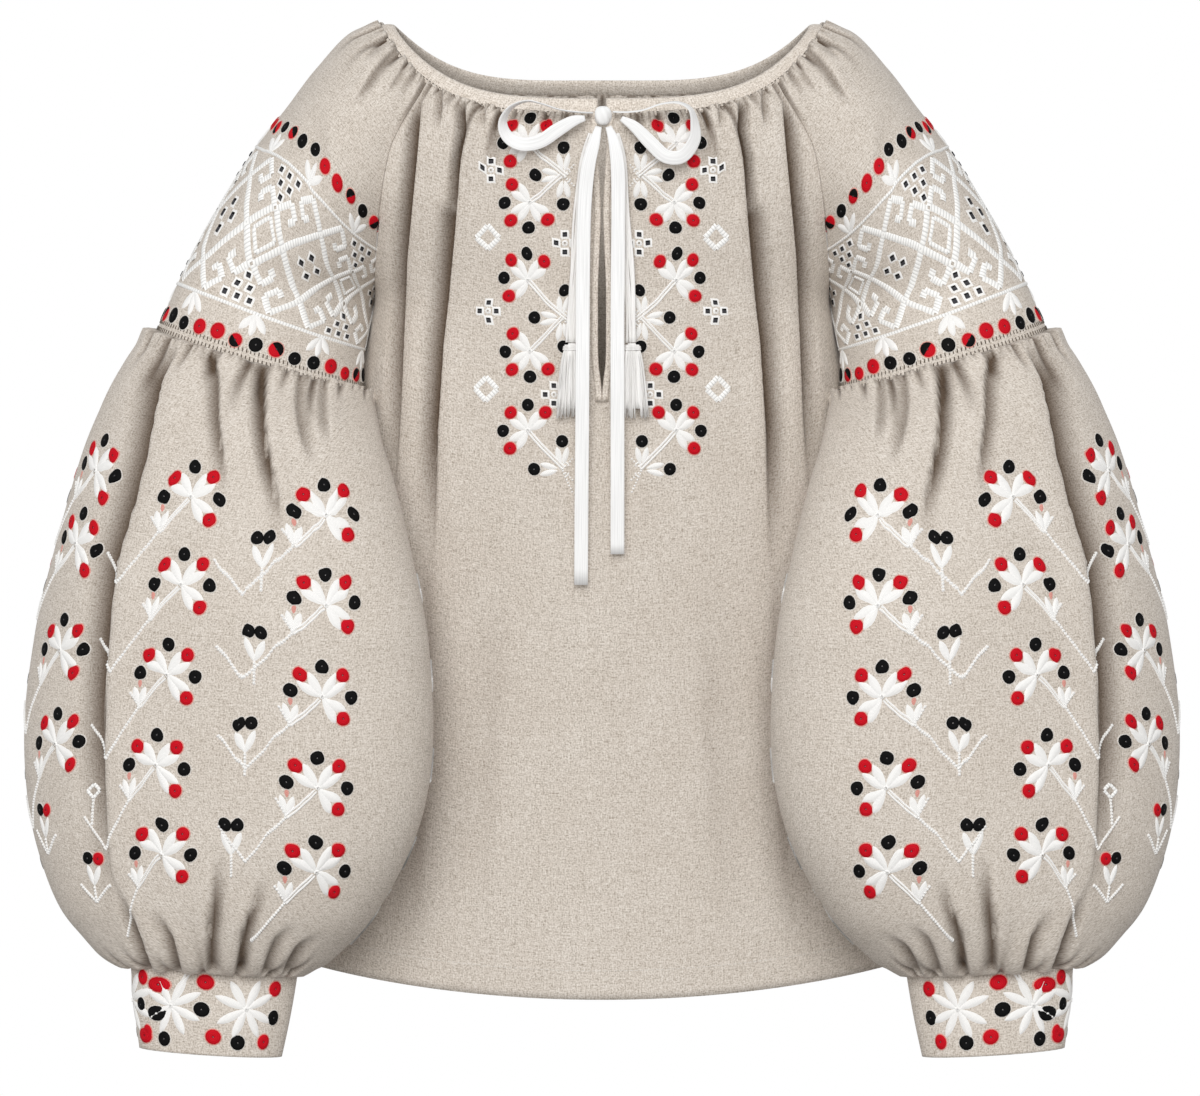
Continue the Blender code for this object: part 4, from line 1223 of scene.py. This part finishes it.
def linen(name, painted_lightening=1.0):
    """Unbleached plain weave: threads of uneven colour both ways and slubs, with painted shade that darkens
    the valleys of folds and gathers.
    """
    material, tree, shader = new_material(name, 0.92, 0.15)
    uv = cloth_place(tree)
    warp = streaks(tree, uv, (0.0006, 0.0050))
    weft = streaks(tree, uv, (0.0050, 0.0006))
    slubs = streaks(tree, uv, (0.0016, 0.0300), 3.0)
    cross_slubs = streaks(tree, uv, (0.0260, 0.0016), 3.0)
    grain = streaks(tree, uv, (0.0011, 0.0011), 1.0)
    cloud = streaks(tree, uv, (0.0400, 0.0500), 2.0)
    threads = worked(tree, "ADD", warp, weft)
    for layer, weight in ((slubs, 0.35), (cross_slubs, 0.35), (grain, 1.6)):
        threads = worked(tree, "ADD", threads, worked(tree, "MULTIPLY", layer, weight))
    fine = worked(tree, "MULTIPLY", threads, 1 / 4.3)
    # A factor above one makes an evenly lighter copy of the cloth, as painted light.
    dark = tuple(value * painted_lightening for value in (0.36, 0.31, 0.255))
    middle = tuple(value * painted_lightening for value in (0.63, 0.57, 0.505))
    light = tuple(value * painted_lightening for value in (0.80, 0.75, 0.69))
    colour = ramp(tree, fine, ((0.38, dark), (0.50, middle), (0.62, light)))
    shade = ramp(tree, cloud, ((0.3, (0.95, 0.94, 0.93)), (0.7, (1.0, 1.0, 1.0))))
    colour = blended(tree, "MULTIPLY", 1.0, colour, shade)
    # Painted shade: the per-point valley value darkens the cloth towards deep brown in creases and gathers.
    painted_valley_shade = tree.nodes.new("ShaderNodeAttribute")
    painted_valley_shade.attribute_name = "painted_valley_shade"
    colour = blended(tree, "MULTIPLY", painted_valley_shade.outputs["Fac"], colour, (0.17, 0.13, 0.10))
    tree.links.new(colour, shader.inputs["Base Color"])
    bumped(tree, shader, fine, 0.0012, 0.5)
    return material


def thread(name, colour, pitch, contrast=0.75):
    """Laid thread: fine lines across the stitch, from the stitch's own length and width."""
    material, tree, shader = new_material(name, 0.6, 0.2)
    uv = cloth_place(tree)
    split = tree.nodes.new("ShaderNodeSeparateXYZ")
    tree.links.new(uv, split.inputs["Vector"])
    wave = waves(tree, split.outputs["X"], pitch)
    noise = streaks(tree, uv, (0.0012, 0.0012))
    wave = worked(tree, "MULTIPLY", wave, worked(tree, "ADD", noise, 0.5))
    low = tuple(value * contrast for value in colour)
    tone = ramp(tree, wave, ((0.0, low), (0.5, colour), (1.0, colour)))
    tree.links.new(tone, shader.inputs["Base Color"])
    bumped(tree, shader, wave, 0.0003, 0.5)
    return material


def dot_thread(name, colour, centre):
    """Satin dots: rings of thread and a small middle of another tone, darker on red dots and lighter on
    black ones as a painted highlight.
    """
    material, tree, shader = new_material(name, 0.7, 0.0)
    uv = cloth_place(tree)
    split = tree.nodes.new("ShaderNodeSeparateXYZ")
    tree.links.new(uv, split.inputs["Vector"])
    wave = waves(tree, split.outputs["Y"], 0.0011)
    low = tuple(value * 0.72 for value in colour)
    tone = ramp(tree, wave, ((0.0, low), (0.6, colour)))
    # The middle tone: a painted highlight on black dots, a darker red on red ones.
    near = worked(tree, "LESS_THAN", split.outputs["Y"], 0.0006)
    tone = blended(tree, "MIX", near, tone, centre)
    tree.links.new(tone, shader.inputs["Base Color"])
    bumped(tree, shader, wave, 0.0003, 0.4)
    return material


def satin(name):
    """White satin ribbon with fine lengthwise ribs."""
    material, tree, shader = new_material(name, 0.42, 0.2)
    uv = cloth_place(tree)
    ribs = streaks(tree, uv, (0.04, 0.0007), 1.0)
    tone = ramp(tree, ribs, ((0.3, (0.80, 0.80, 0.795)), (0.65, (0.93, 0.93, 0.925))))
    tree.links.new(tone, shader.inputs["Base Color"])
    bumped(tree, shader, ribs, 0.0004, 0.5)
    return material


def cotton(name):
    """White cotton yarn with a soft mottling."""
    material, tree, shader = new_material(name, 0.8, 0.3)
    where = tree.nodes.new("ShaderNodeTexCoord")
    mottle = streaks(tree, where.outputs["Object"], (0.0015, 0.0015))
    tone = ramp(tree, mottle, ((0.3, (0.78, 0.765, 0.74)), (0.65, (0.92, 0.91, 0.895))))
    tree.links.new(tone, shader.inputs["Base Color"])
    bumped(tree, shader, mottle, 0.0004, 0.3)
    return material


# ---------------------------------------------------------------- camera, light
CAMERA_LENS = 272.7
CAMERA_TARGET = (-0.0013, 0.0, -0.343)
CAMERA_TILT = 3
CAMERA_DISTANCE = 6
KEY_TURN = 5
KEY_RISE = 26


def camera():
    """A long lens from the front, a little above."""
    data = bpy.data.cameras.new("camera")
    data.sensor_width = 36
    data.lens = CAMERA_LENS
    data.clip_end = 50
    made = bpy.data.objects.new("camera", data)
    bpy.context.scene.collection.objects.link(made)
    target = Vector(CAMERA_TARGET)
    tilt = np.radians(CAMERA_TILT)
    made.location = target + CAMERA_DISTANCE * Vector((0, -np.cos(tilt), np.sin(tilt)))
    made.rotation_euler = (target - made.location).to_track_quat("-Z", "Y").to_euler()
    bpy.context.scene.camera = made


def light():
    """A soft key from the upper left and a pale surround, brightest at the horizon behind the blouse."""
    sun = bpy.data.lights.new("key", "SUN")
    sun.energy = 2.05
    sun.angle = np.radians(40)
    lamp = bpy.data.objects.new("key", sun)
    turn = np.radians(KEY_TURN)
    rise = np.radians(KEY_RISE)
    aim = Vector((np.cos(rise) * np.sin(turn), np.cos(rise) * np.cos(turn), -np.sin(rise)))
    lamp.rotation_euler = aim.to_track_quat("-Z", "Y").to_euler()
    bpy.context.scene.collection.objects.link(lamp)
    world = bpy.data.worlds.new("world")
    bpy.context.scene.world = world
    world.use_nodes = True
    tree = world.node_tree
    where = tree.nodes.new("ShaderNodeTexCoord")
    split = tree.nodes.new("ShaderNodeSeparateXYZ")
    tree.links.new(where.outputs["Generated"], split.inputs["Vector"])
    half = worked(tree, "MULTIPLY", split.outputs["Z"], 0.5)
    rise = worked(tree, "ADD", half, 0.5)
    grey = ((0.0, (0.24, 0.23, 0.22)), (0.40, (0.30, 0.29, 0.28)), (0.425, (1, 1, 1)), (0.575, (1, 1, 1)),
            (0.61, (0.40, 0.40, 0.40)), (1.0, (0.46, 0.46, 0.46)))
    sky = ramp(tree, rise, grey)
    tree.links.new(sky, tree.nodes["Background"].inputs["Color"])
    bpy.context.scene.view_settings.view_transform = "Standard"


# ---------------------------------------------------------------- what is sewn on each piece
def sew_chest(chart):
    """The column of flowers beside the slit, with its buds, crosses and diamonds."""
    kit = Kit()
    flowers = (((0.0480, -0.0751), 1), ((0.0467, -0.1134), -1), ((0.0480, -0.1639), 1),
               ((0.0467, -0.2099), -1), ((0.0480, -0.2611), 1))
    nodes = ((0.0249, -0.0965), (0.0249, -0.0965), (0.0259, -0.1885), (0.0259, -0.1885), (0.0259, -0.2864))
    for (spot, way), node in zip(flowers, nodes):
        board = Spot(chart, *chart.find(*spot))
        flower(kit, board, 45 * way, 0.0142, 0.0060, 0.0165, 0.00440, 16.0)
        end = np.array(node) - np.array(spot)
        double_stem(kit, board, end * 0.04, end)
    for number, spot in enumerate(((0.0249, -0.0965), (0.0259, -0.1885), (0.0259, -0.2864))):
        board = Spot(chart, *chart.find(*spot))
        for turn in (90, 0, -90)[:3 if number < 2 else 2]:
            bud(kit, board, 0.0, 0.0, turn, 0.0183, 0.0120, 0.0045, 0.00440, spread=14.0, start=0.0030)
        for way in (-1, 1):
            beads(kit, board, ((0.0, 0.0), (-0.0070, 0.0070 * way)))
            beads(kit, board, ((-0.0048, 0.0018 * way), (-0.0018, 0.0056 * way)))
        if number == 2:
            beads(kit, board, ((0.0, 0.0), (-0.0069, -0.0156)))
    for spot in ((0.0719, -0.0926), (0.0240, -0.1399), (0.0739, -0.1840), (0.0311, -0.2378)):
        cross(kit, Spot(chart, *chart.find(*spot)))
    for spot in ((0.0739, -0.1360), (0.0752, -0.2345)):
        diamond(kit, Spot(chart, *chart.find(*spot)))
    return kit


INSET_CENTRE = (0.1903, -0.1559)
INSET_SLANT = 20
INSET_REPEAT = 0.076


def sew_inset(chart):
    """The geometric band round the sleeve top, its borders, leaves and rows of dots."""
    kit = Kit()
    column = chart.find(*INSET_CENTRE)[1]
    belt = Sash(chart, INSET_CENTRE, INSET_SLANT, 0.066)
    start, end = belt.ends()
    root = np.sqrt(0.5)

    def turned(spots, u):
        return [(u + (p - q) * root, (p + q) * root) for p, q in spots]

    for border in (0.040, -0.040):
        line(kit, "satin", belt, ((start, border), (end, border)), 0.0022, 0.0009)
    for number in range(-5, 6):
        u = number * INSET_REPEAT
        if start - 0.03 < u < end + 0.03:
            for side in (-0.016, 0.016):
                for swap in (False, True):
                    paths = [((-0.036, side), (0.036, side))]
                    for tip in (-1, 1):
                        near = side * 0.25
                        paths.append(((0.036 * tip, side), (0.036 * tip, near), (0.0265 * tip, near),
                                      (0.0265 * tip, side * 0.56)))
                    for path in paths:
                        spots = [(q, p) for p, q in path] if swap else path
                        bars(kit, belt, turned(spots, u))
            for du, dv in ((0.0068, 0), (-0.0068, 0), (0, 0.0068), (0, -0.0068)):
                tile(kit, belt, u + du, dv, 0.0024)
        middle = u + INSET_REPEAT / 2
        if start < middle < end:
            quarters = np.arange(5) * np.pi / 2
            corners = [(middle + 0.0088 * np.cos(turn), 0.0088 * np.sin(turn)) for turn in quarters]
            bars(kit, belt, corners, 0.0027)
            for way in (1, -1):
                for rank in range(3):
                    for place in range(3 - rank):
                        shift = (place - (2 - rank) / 2) * 0.0088
                        tile(kit, belt, middle + shift, way * (0.0345 - 0.0070 * rank), 0.0022)
    for way in (1, -1):
        for u in np.arange(start + 0.010, end - 0.010, 0.0470):
            for lean in (-46, -4, 36):
                leaf(kit, belt, u, way * 0.0405, 90 * way + lean, 0.0135, 0.0056)
        for number, u in enumerate(np.arange(start + 0.003, end - 0.003, 0.0135)):
            height = way * (0.0570 + 0.0010 * ((number * 7) % 3))
            size = 0.0052 - 0.0003 * (number % 3)
            kind = (number * 5 + (way > 0)) % 7
            if kind in (2, 5):
                half_dot(kit, belt, u, height, size, 40 + 90 * number)
            else:
                dot(kit, belt, u, height, size, "red" if kind % 2 else "black")
    seam = len(chart.grid) - 1
    lengths = lengths_down(chart.grid)
    drop = lengths[-1, int(column)] - lengths[-20, int(column)]
    low = Belt(chart, seam - 19, seam, drop, column)
    # Two rows of smocking stitches at the seam, drawn near-black as painted shade of their holes and dents.
    for height in (0.0022, 0.0070):
        where = -drop / 2 + height
        stitches(kit, "shadow", lambda u, v, lift=0.0, h=where: low.at(u, h + v, lift),
                 np.arange(start + 0.001, end - 0.001, 0.0028), 0.0026, 0.0010, 0.0005, 90)
    return kit


def sew_balloon(chart):
    """Flowers in staggered rows round the sleeve, each with its stem, bud and beaded chain."""
    kit = Kit()
    known = (
        ((0.3279, -0.2870), (0.3402, -0.3343), (0.3499, -0.4024), (0.3528, -0.4626)),
        ((0.2637, -0.3019), (0.2696, -0.3576), (0.2786, -0.4153), (0.2858, -0.4730), (0.2819, -0.5307)),
        ((0.1769, -0.3129), (0.1763, -0.3700), (0.1788, -0.4276), (0.1814, -0.4860), (0.1827, -0.5404)),
    )
    cells = chart.grid.shape[1] - 1
    places = []
    for column_spots in known:
        places += [chart.find(*spot) for spot in column_spots]
    rows = [chart.find(*spot)[0] for spot in known[1]]
    for turn in (204, 250, 296, 340):
        places += [(row, (360 - turn + 180) / 360 * cells) for row in rows]
    for number, (row, column) in enumerate(places):
        board = Spot(chart, row, column)
        flower(kit, board, 135, 0.0185, 0.0068, 0.0195, 0.0048, 15.0)
        double_stem(kit, board, (0.0015, -0.0015), (0.0195, -0.0195))
        bud(kit, board, 0.0195, -0.0195, 90, 0.0220, 0.0140, 0.0052, 0.0048)
        beads(kit, board, ((0.0195, -0.0195), (0.0230, -0.0140), (0.0270, -0.0085)), 0.0024)
        beads(kit, board, ((0.0195, -0.0195), (0.0440, -0.0500)), 0.0025)
        if number not in (8, 13):
            beads(kit, board, ((0.0440, -0.0500), (0.0600, -0.0290)), 0.0025)
    for spot in ((0.2170, -0.3335), (0.2220, -0.3925), (0.2281, -0.4508), (0.2372, -0.5170)):
        board = Spot(chart, *chart.find(*spot))
        for side in (-1, 1):
            leaf(kit, board, 0.0, -0.0130, 90 - 24 * side, 0.0160, 0.0056)
            dot(kit, board, 0.0040 * side, 0.0062, 0.0046, "black")
        beads(kit, board, ((0.0, -0.0130), (0.0, -0.0280)), 0.0025)
    for spot in ((0.3614, -0.5066), (0.3278, -0.5350)):
        board = Spot(chart, *chart.find(*spot))
        for side, colour in ((-1, "red"), (1, "black")):
            dot(kit, board, 0.0040 * side, 0.0, 0.0044, colour)
            leaf(kit, board, 0.0, -0.0180, 90 - 20 * side, 0.0145, 0.0052)
        beads(kit, board, ((0.0, -0.0180), (0.0, -0.0280)), 0.0025)
        for side in (-1, 1):
            beads(kit, board, ((0.0, -0.0290), (0.0140 * side, -0.0150)), 0.0025)
    board = Spot(chart, *chart.find(0.3272, -0.4915))
    diamond(kit, board, 0.0044, 0.0024)
    beads(kit, board, ((0.0, -0.0050), (0.0010, -0.0220)), 0.0025)
    return kit


def sew_cuff(chart):
    """Two whole flowers in front, and the same carried round the cuff."""
    kit = Kit()
    row, column = chart.find(0.2294, -0.6328)
    other_row, other_column = chart.find(0.2780, -0.6308)
    cells = chart.grid.shape[1] - 1
    step = other_column - column
    pattern = (("red", 0.0232, 0.0177), ("black", 0.0270, 0.0), ("red", 0.0212, -0.0177),
               ("black", 0.0056, -0.0215),
               ("red", -0.0136, -0.0215), ("black", -0.0207, -0.0061), ("red", -0.0207, 0.0126))
    for number in range(-4, 5):
        place = column + number * step
        if not 4 < place < cells - 4:
            continue
        board = Spot(chart, row if number % 2 == 0 else other_row, place)
        for corner in (45, 135, -45, -135):
            for lean in (-19, 19):
                leaf(kit, board, 0.0, 0.0, corner + lean, 0.0205, 0.0064)
        halo(kit, "white", board, 0.0, 0.0, 0.0010, 0.0007, 0.0012, sides=10)
        for colour, u, v in pattern[:7 if number % 2 == 0 else 4]:
            dot(kit, board, u, v, 0.0052, colour)
        if number % 2:
            double_stem(kit, board, (0.0, 0.0), (-0.0120, 0.0250))
    return kit


def sew_band(low, up, out, lengths):
    """Short stitches along the lower seam of the neckband, drawn near-black as painted shade of their holes.
    """
    kit = Kit()

    def board(u, v, lift):
        u, v, lift = np.broadcast_arrays(u, v, lift)

        def mix(table):
            return np.stack([np.interp(u, lengths, table[:, axis]) for axis in range(3)], axis=-1)

        return mix(low) + mix(up) * (0.10 + v / 0.0107)[..., None] + mix(out) * (0.0026 + lift)[..., None]

    stitches(kit, "shadow", board, np.arange(0.003, lengths[-1] - 0.003, 0.0030), 0.0015, 0.0006, 0.0003)
    return kit


def sew_hem(front_chart, back_chart):
    """One line of small stitches above the hem."""
    kit = Kit()
    for chart in (front_chart, back_chart):
        lengths = lengths_down(chart.grid)
        rise = np.interp(0.019, (lengths[-1, 60] - lengths[:, 60])[::-1], np.arange(len(lengths))[::-1])
        belt = Belt(chart, rise - 1, rise + 1, 2 * lengths[-1, 60] / len(lengths), 0)
        low, high = belt.ends()
        stitches(kit, "pale", lambda u, v, lift=0.0, b=belt: b.at(u, v, lift),
                 np.arange(low + 0.002, high - 0.002, 0.0034), 0.0022, 0.0007, 0.0002)
    return kit


# ---------------------------------------------------------------- the blouse
camera()
light()

LINEN = linen("linen")
# Painted light: the neckband and slit bindings use the same linen made 14% lighter all over.
LINEN_BAND_LIT = linen("linen_band_lit", 1.14)
RIBBON = satin("ribbon_satin")
YARN = cotton("cotton_yarn")
THREADS = {
    "white": thread("white_thread", (0.93, 0.92, 0.90), 0.0011, contrast=0.86),
    "satin": thread("white_satin_bars", (0.93, 0.925, 0.905), 0.0021, contrast=0.70),
    "red": dot_thread("red_thread", (0.60, 0.004, 0.014), (0.16, 0.01, 0.02)),
    # The black dots' lighter middle colour is a painted highlight.
    "black": dot_thread("black_thread", (0.0025, 0.0025, 0.0028), (0.05, 0.05, 0.055)),
    "pale": thread("pale_thread", (0.70, 0.66, 0.61), 0.0011),
    "rose": thread("rose_thread", (0.74, 0.33, 0.28), 0.0011),
    # Near-black stitch thread: real stitches, with their colour painted shade of the holes they sink into.
    "shadow": thread("stitch_thread_painted_shade", (0.13, 0.105, 0.08), 0.0011),
}


def shown(piece, slot, *nodes):
    """Tells the frame which body the piece rides on and the CAD nodes it replaces; slot is not used."""
    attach(piece, "root")
    if nodes:
        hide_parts(*nodes)
    return piece


def cloth_uv(grid, start=0):
    """Lengths along the cloth, across from the start column and down from the top, as a map."""
    across = lengths_across(grid)
    across = across - across[:, start:start + 1]
    return np.stack([across, -lengths_down(grid)], axis=-1)


def make_tails():
    """The two hanging ribbon ends."""
    for side, path in (("r", TAIL_R), ("l", TAIL_L)):
        table = np.array(path)
        name = "ribbon_tail_" + side
        flat_on = np.full(len(table), 90.0)
        piece, points, length = ribbon(name + "_ribbon", table[:, :3], flat_on, table[:, 3], RIBBON, 0.0003)
        shown(piece, "ribbon", name)


def make_bow():
    """The two loops and the knot."""
    for side, path in (("r", LOOP_R), ("l", LOOP_L)):
        table = np.array(path)
        name = "bow_loop_" + side
        piece = ribbon(name + "_ribbon", table[:, :3], table[:, 3], table[:, 4], RIBBON)[0]
        shown(piece, "ribbon", name)
    shown(knot("bow_knot_ribbon", RIBBON), "ribbon", "bow_knot")


def make_tassel_cords():
    """The two yarn cords, each with its tassel."""
    for side, sign, path in (("r", 1, CORD_R), ("l", -1, CORD_L)):
        table = np.array(path)
        name = "tassel_cord_" + side
        end = tassel("tassel_" + side + "_yarn", sign, YARN, 20 + sign)
        shown(end, "yarn", "tassel_" + side)
        piece, points, length = yarn_bundle(name + "_yarn", table[:, :3], table[:, 3], 8, 0.0033, 0.00080,
                                            YARN, 30 + sign)
        shown(piece, "yarn", name)


def body_layers(grid, creases, facing, seed):
    """The outer and inner surface of half a panel, with its creases, the gathers under the band and the
    painted shade in their valleys.
    """
    out = outward(grid) if facing < 0 else -outward(grid)
    across = lengths_across(grid)
    to_edge = across[:, -1:] - across
    if facing < 0:
        height, shade = folded(grid, creases, facing)
    else:
        height, shade = (flipped(table) for table in folded(flipped(grid), creases, facing))
    calm = smooth(to_edge / 0.008)
    down = lengths_down(grid)
    fine, wide, dark = gathers(across[0], down, *BODY_GATHERS, seed)
    fine = fine * smooth(to_edge / 0.003)
    outer = grid + out * (height * calm + fine)[..., None]
    near_band = down < 0.05
    sunk = 0.6 * (0.0030 * near_band - wide) * near_band
    inner = grid + out * (height * calm - WALL - sunk)[..., None]
    whole = grid[:, 0, 0] == 0
    outer[whole, 0, 0] = 0
    inner[whole, 0, 0] = 0
    return outer, inner, np.clip(shade * calm + dark, 0, 1)


def make_front(half):
    """The front with its slit; also returns the shown surface of the +X half."""
    outer, inner, shade = body_layers(half, FRONT_CREASES, -1, 3)
    uv = cloth_uv(half)
    rows = len(outer)
    slit_rows = SLIT_END_ROW * STEPS + 1
    shell = Shell()
    shell.add(outer, inner, uv, shade, (("top", 0), ("bottom", 0), ("right", rows), ("left", slit_rows)))
    shell.add(mirrored(outer), mirrored(inner), (uv * (-1, 1))[:, ::-1], shade[:, ::-1],
              (("top", 0), ("bottom", 0), ("left", rows), ("right", slit_rows)))
    return shown(shell.build("front_cloth", LINEN), "linen", "front_panel"), outer


def make_back(half):
    """The back, whole at its centre; also returns the shown surface of the -X half."""
    outer, inner, shade = body_layers(half, BACK_CREASES, 1, 5)
    uv = cloth_uv(half)
    rows = len(outer)
    left = outer * (-1, 1, 1)
    shell = Shell()
    shell.add(flipped(outer), flipped(inner), flipped(uv * (-1, 1)), flipped(shade),
              (("top", 0), ("bottom", 0), ("left", rows)))
    shell.add(left, inner * (-1, 1, 1), uv, shade, (("top", 0), ("bottom", 0), ("right", rows)))
    return shown(shell.build("back_cloth", LINEN), "linen", "back_panel"), left


def sleeve_top_layers(open_front, open_back):
    """The outer and inner surface of a sleeve top, with its shade and map."""
    arm = shoulder_grid(open_front, open_back)
    out = outward(arm)
    across = lengths_across(arm)
    out[OPEN_ROWS:, 0] = out[OPEN_ROWS:, -1] = unit(out[OPEN_ROWS:, 0] + out[OPEN_ROWS:, -1])
    height, shade = folded(arm, SHOULDER_CREASES, -1)
    rear_height, rear_shade = folded(arm, SHOULDER_CREASES, 1)
    edge_gap = np.minimum(across, across[:, -1:] - across)
    calm = smooth(edge_gap / 0.008)
    height = (height + rear_height) * calm
    fine, _, dark = gathers(across[0], lengths_down(arm), *SHOULDER_GATHERS, 7)
    outer = arm + out * (height + fine * smooth(edge_gap / 0.003))[..., None]
    inner = arm + out * (height - WALL)[..., None]
    shade = np.clip(np.maximum(shade, rear_shade) * calm + dark, 0, 1)
    return outer, inner, shade, cloth_uv(arm, SLEEVE_CELLS // 2)


def balloon_layers():
    """The outer and inner surface of a balloon, gathered at both ends, with its shade and map."""
    balloon = tube(BALLOON_ROWS, BALLOON_CELLS, 14)
    out = outward(balloon, closed=True)
    shifted = [([(x + REAR_SHIFT, z) for x, z in spots], *rest) for spots, *rest in BALLOON_CREASES]
    height, shade = folded(balloon, BALLOON_CREASES, -1)
    rear_height, rear_shade = folded(balloon, shifted, 1)
    down = lengths_down(balloon)
    around = lengths_across(balloon)
    up = down[-1:] - down
    top, _, top_shade = gathers(around[0], down, *BALLOON_GATHERS, 9)
    cuff_places = around[0] * around[-1, -1] / around[0, -1]
    low, low_shade = puckers(cuff_places, up, *CUFF_GATHERS, 10)
    top *= 0.25 + 0.75 * smooth(down / 0.004)
    low *= 0.30 + 0.70 * smooth(up / 0.006)
    ends = smooth(down / 0.003) * smooth(up / 0.002)
    round_fade = smooth(np.minimum(around, around[:, -1:] - around) / 0.010)
    fine = (top + low) * round_fade
    rise = (height + rear_height) * ends * round_fade
    outer = balloon + out * (rise + fine)[..., None]
    inner = balloon + out * (rise - WALL)[..., None]
    # Painted shade: crease valleys plus the gather notches at both ends of the balloon.
    shade = np.clip(np.maximum(shade, rear_shade) + top_shade + 0.8 * low_shade * (up < 0.05), 0, 1)
    return outer, inner, shade, cloth_uv(balloon, BALLOON_CELLS // 2)


def cuff_layers():
    """The outer and inner surface of a cuff, a little swollen at half height, with no shade."""
    cuff = tube(CUFF_ROWS, CUFF_CELLS, CUFF_STEPS)
    out = outward(cuff, closed=True)
    down = lengths_down(cuff)
    swell = 0.0006 * np.sin(np.pi * np.clip(down / down[-1], 0, 1))
    outer = cuff + out * swell[..., None]
    return outer, cuff - out * 0.0021, np.zeros(cuff.shape[:2]), cloth_uv(cuff, CUFF_CELLS // 2)


def make_sleeve_piece(name, layers, rims, mirror):
    """One closed piece of a sleeve, on the +X side or mirrored to the other."""
    outer, inner, shade, uv = layers
    if mirror:
        outer, inner, uv, shade = mirrored(outer), mirrored(inner), flipped(uv), flipped(shade)
    shell = Shell()
    shell.add(outer, inner, uv, shade, rims)
    return shown(shell.build(name + "_cloth", LINEN), "linen", name)


OPEN_ROWS = ARMPIT_ROW * STEPS
RING_ENDS = (("top", 0), ("bottom", 0))
OPEN_SIDES = (*RING_ENDS, ("left", OPEN_ROWS + 1), ("right", OPEN_ROWS + 1))

make_tails()
make_bow()
make_tassel_cords()

front_half = panel_half(FRONT_ROWS, FRONT_CELLS, STEPS)
back_half = panel_half(BACK_ROWS, BACK_CELLS, BACK_STEPS)
front_piece, front_outer = make_front(front_half)
back_piece, back_left = make_back(back_half)
front_chart = Chart(front_outer)
front_out = outward(front_outer)

for side, sign in (("r", 1), ("l", -1)):
    strip_piece = binding("slit_binding_" + side + "_cloth", front_outer, front_out, sign, LINEN_BAND_LIT)
    shown(strip_piece, "linen", "slit_binding_" + side)
band_piece, *band_lines = neckband(LINEN_BAND_LIT)
shown(band_piece, "linen", "neckband")
band_threads = sew_band(*band_lines).build("band", THREADS, False)
for piece in band_threads:
    shown(piece, "linen")

sleeve_top = sleeve_top_layers(front_half[:OPEN_ROWS + 1, -1], back_half[:ARMPIT_ROW * BACK_STEPS + 1, -1])
balloon = balloon_layers()
cuff = cuff_layers()
kits = {
    "chest": sew_chest(front_chart),
    "inset": sew_inset(Chart(sleeve_top[0])),
    "balloon": sew_balloon(Chart(balloon[0])),
    "cuff": sew_cuff(Chart(cuff[0])),
    "hem": sew_hem(front_chart, Chart(back_left)),
}

front_threads = []
for side, mirror in (("r", False), ("l", True)):
    sewn = {}
    for name, kit in kits.items():
        sewn[name] = kit.build(name + "_" + side, THREADS, mirror)
        for piece in sewn[name]:
            shown(piece, "linen" if piece.name.endswith("shadow") else "yarn")
    top_piece = make_sleeve_piece("sleeve_top_" + side, sleeve_top, OPEN_SIDES, mirror)
    puff = make_sleeve_piece("balloon_" + side, balloon, RING_ENDS, mirror)
    cuff_piece = make_sleeve_piece("cuff_" + side, cuff, RING_ENDS, mirror)
    front_threads += sewn["chest"] + sewn["hem"]
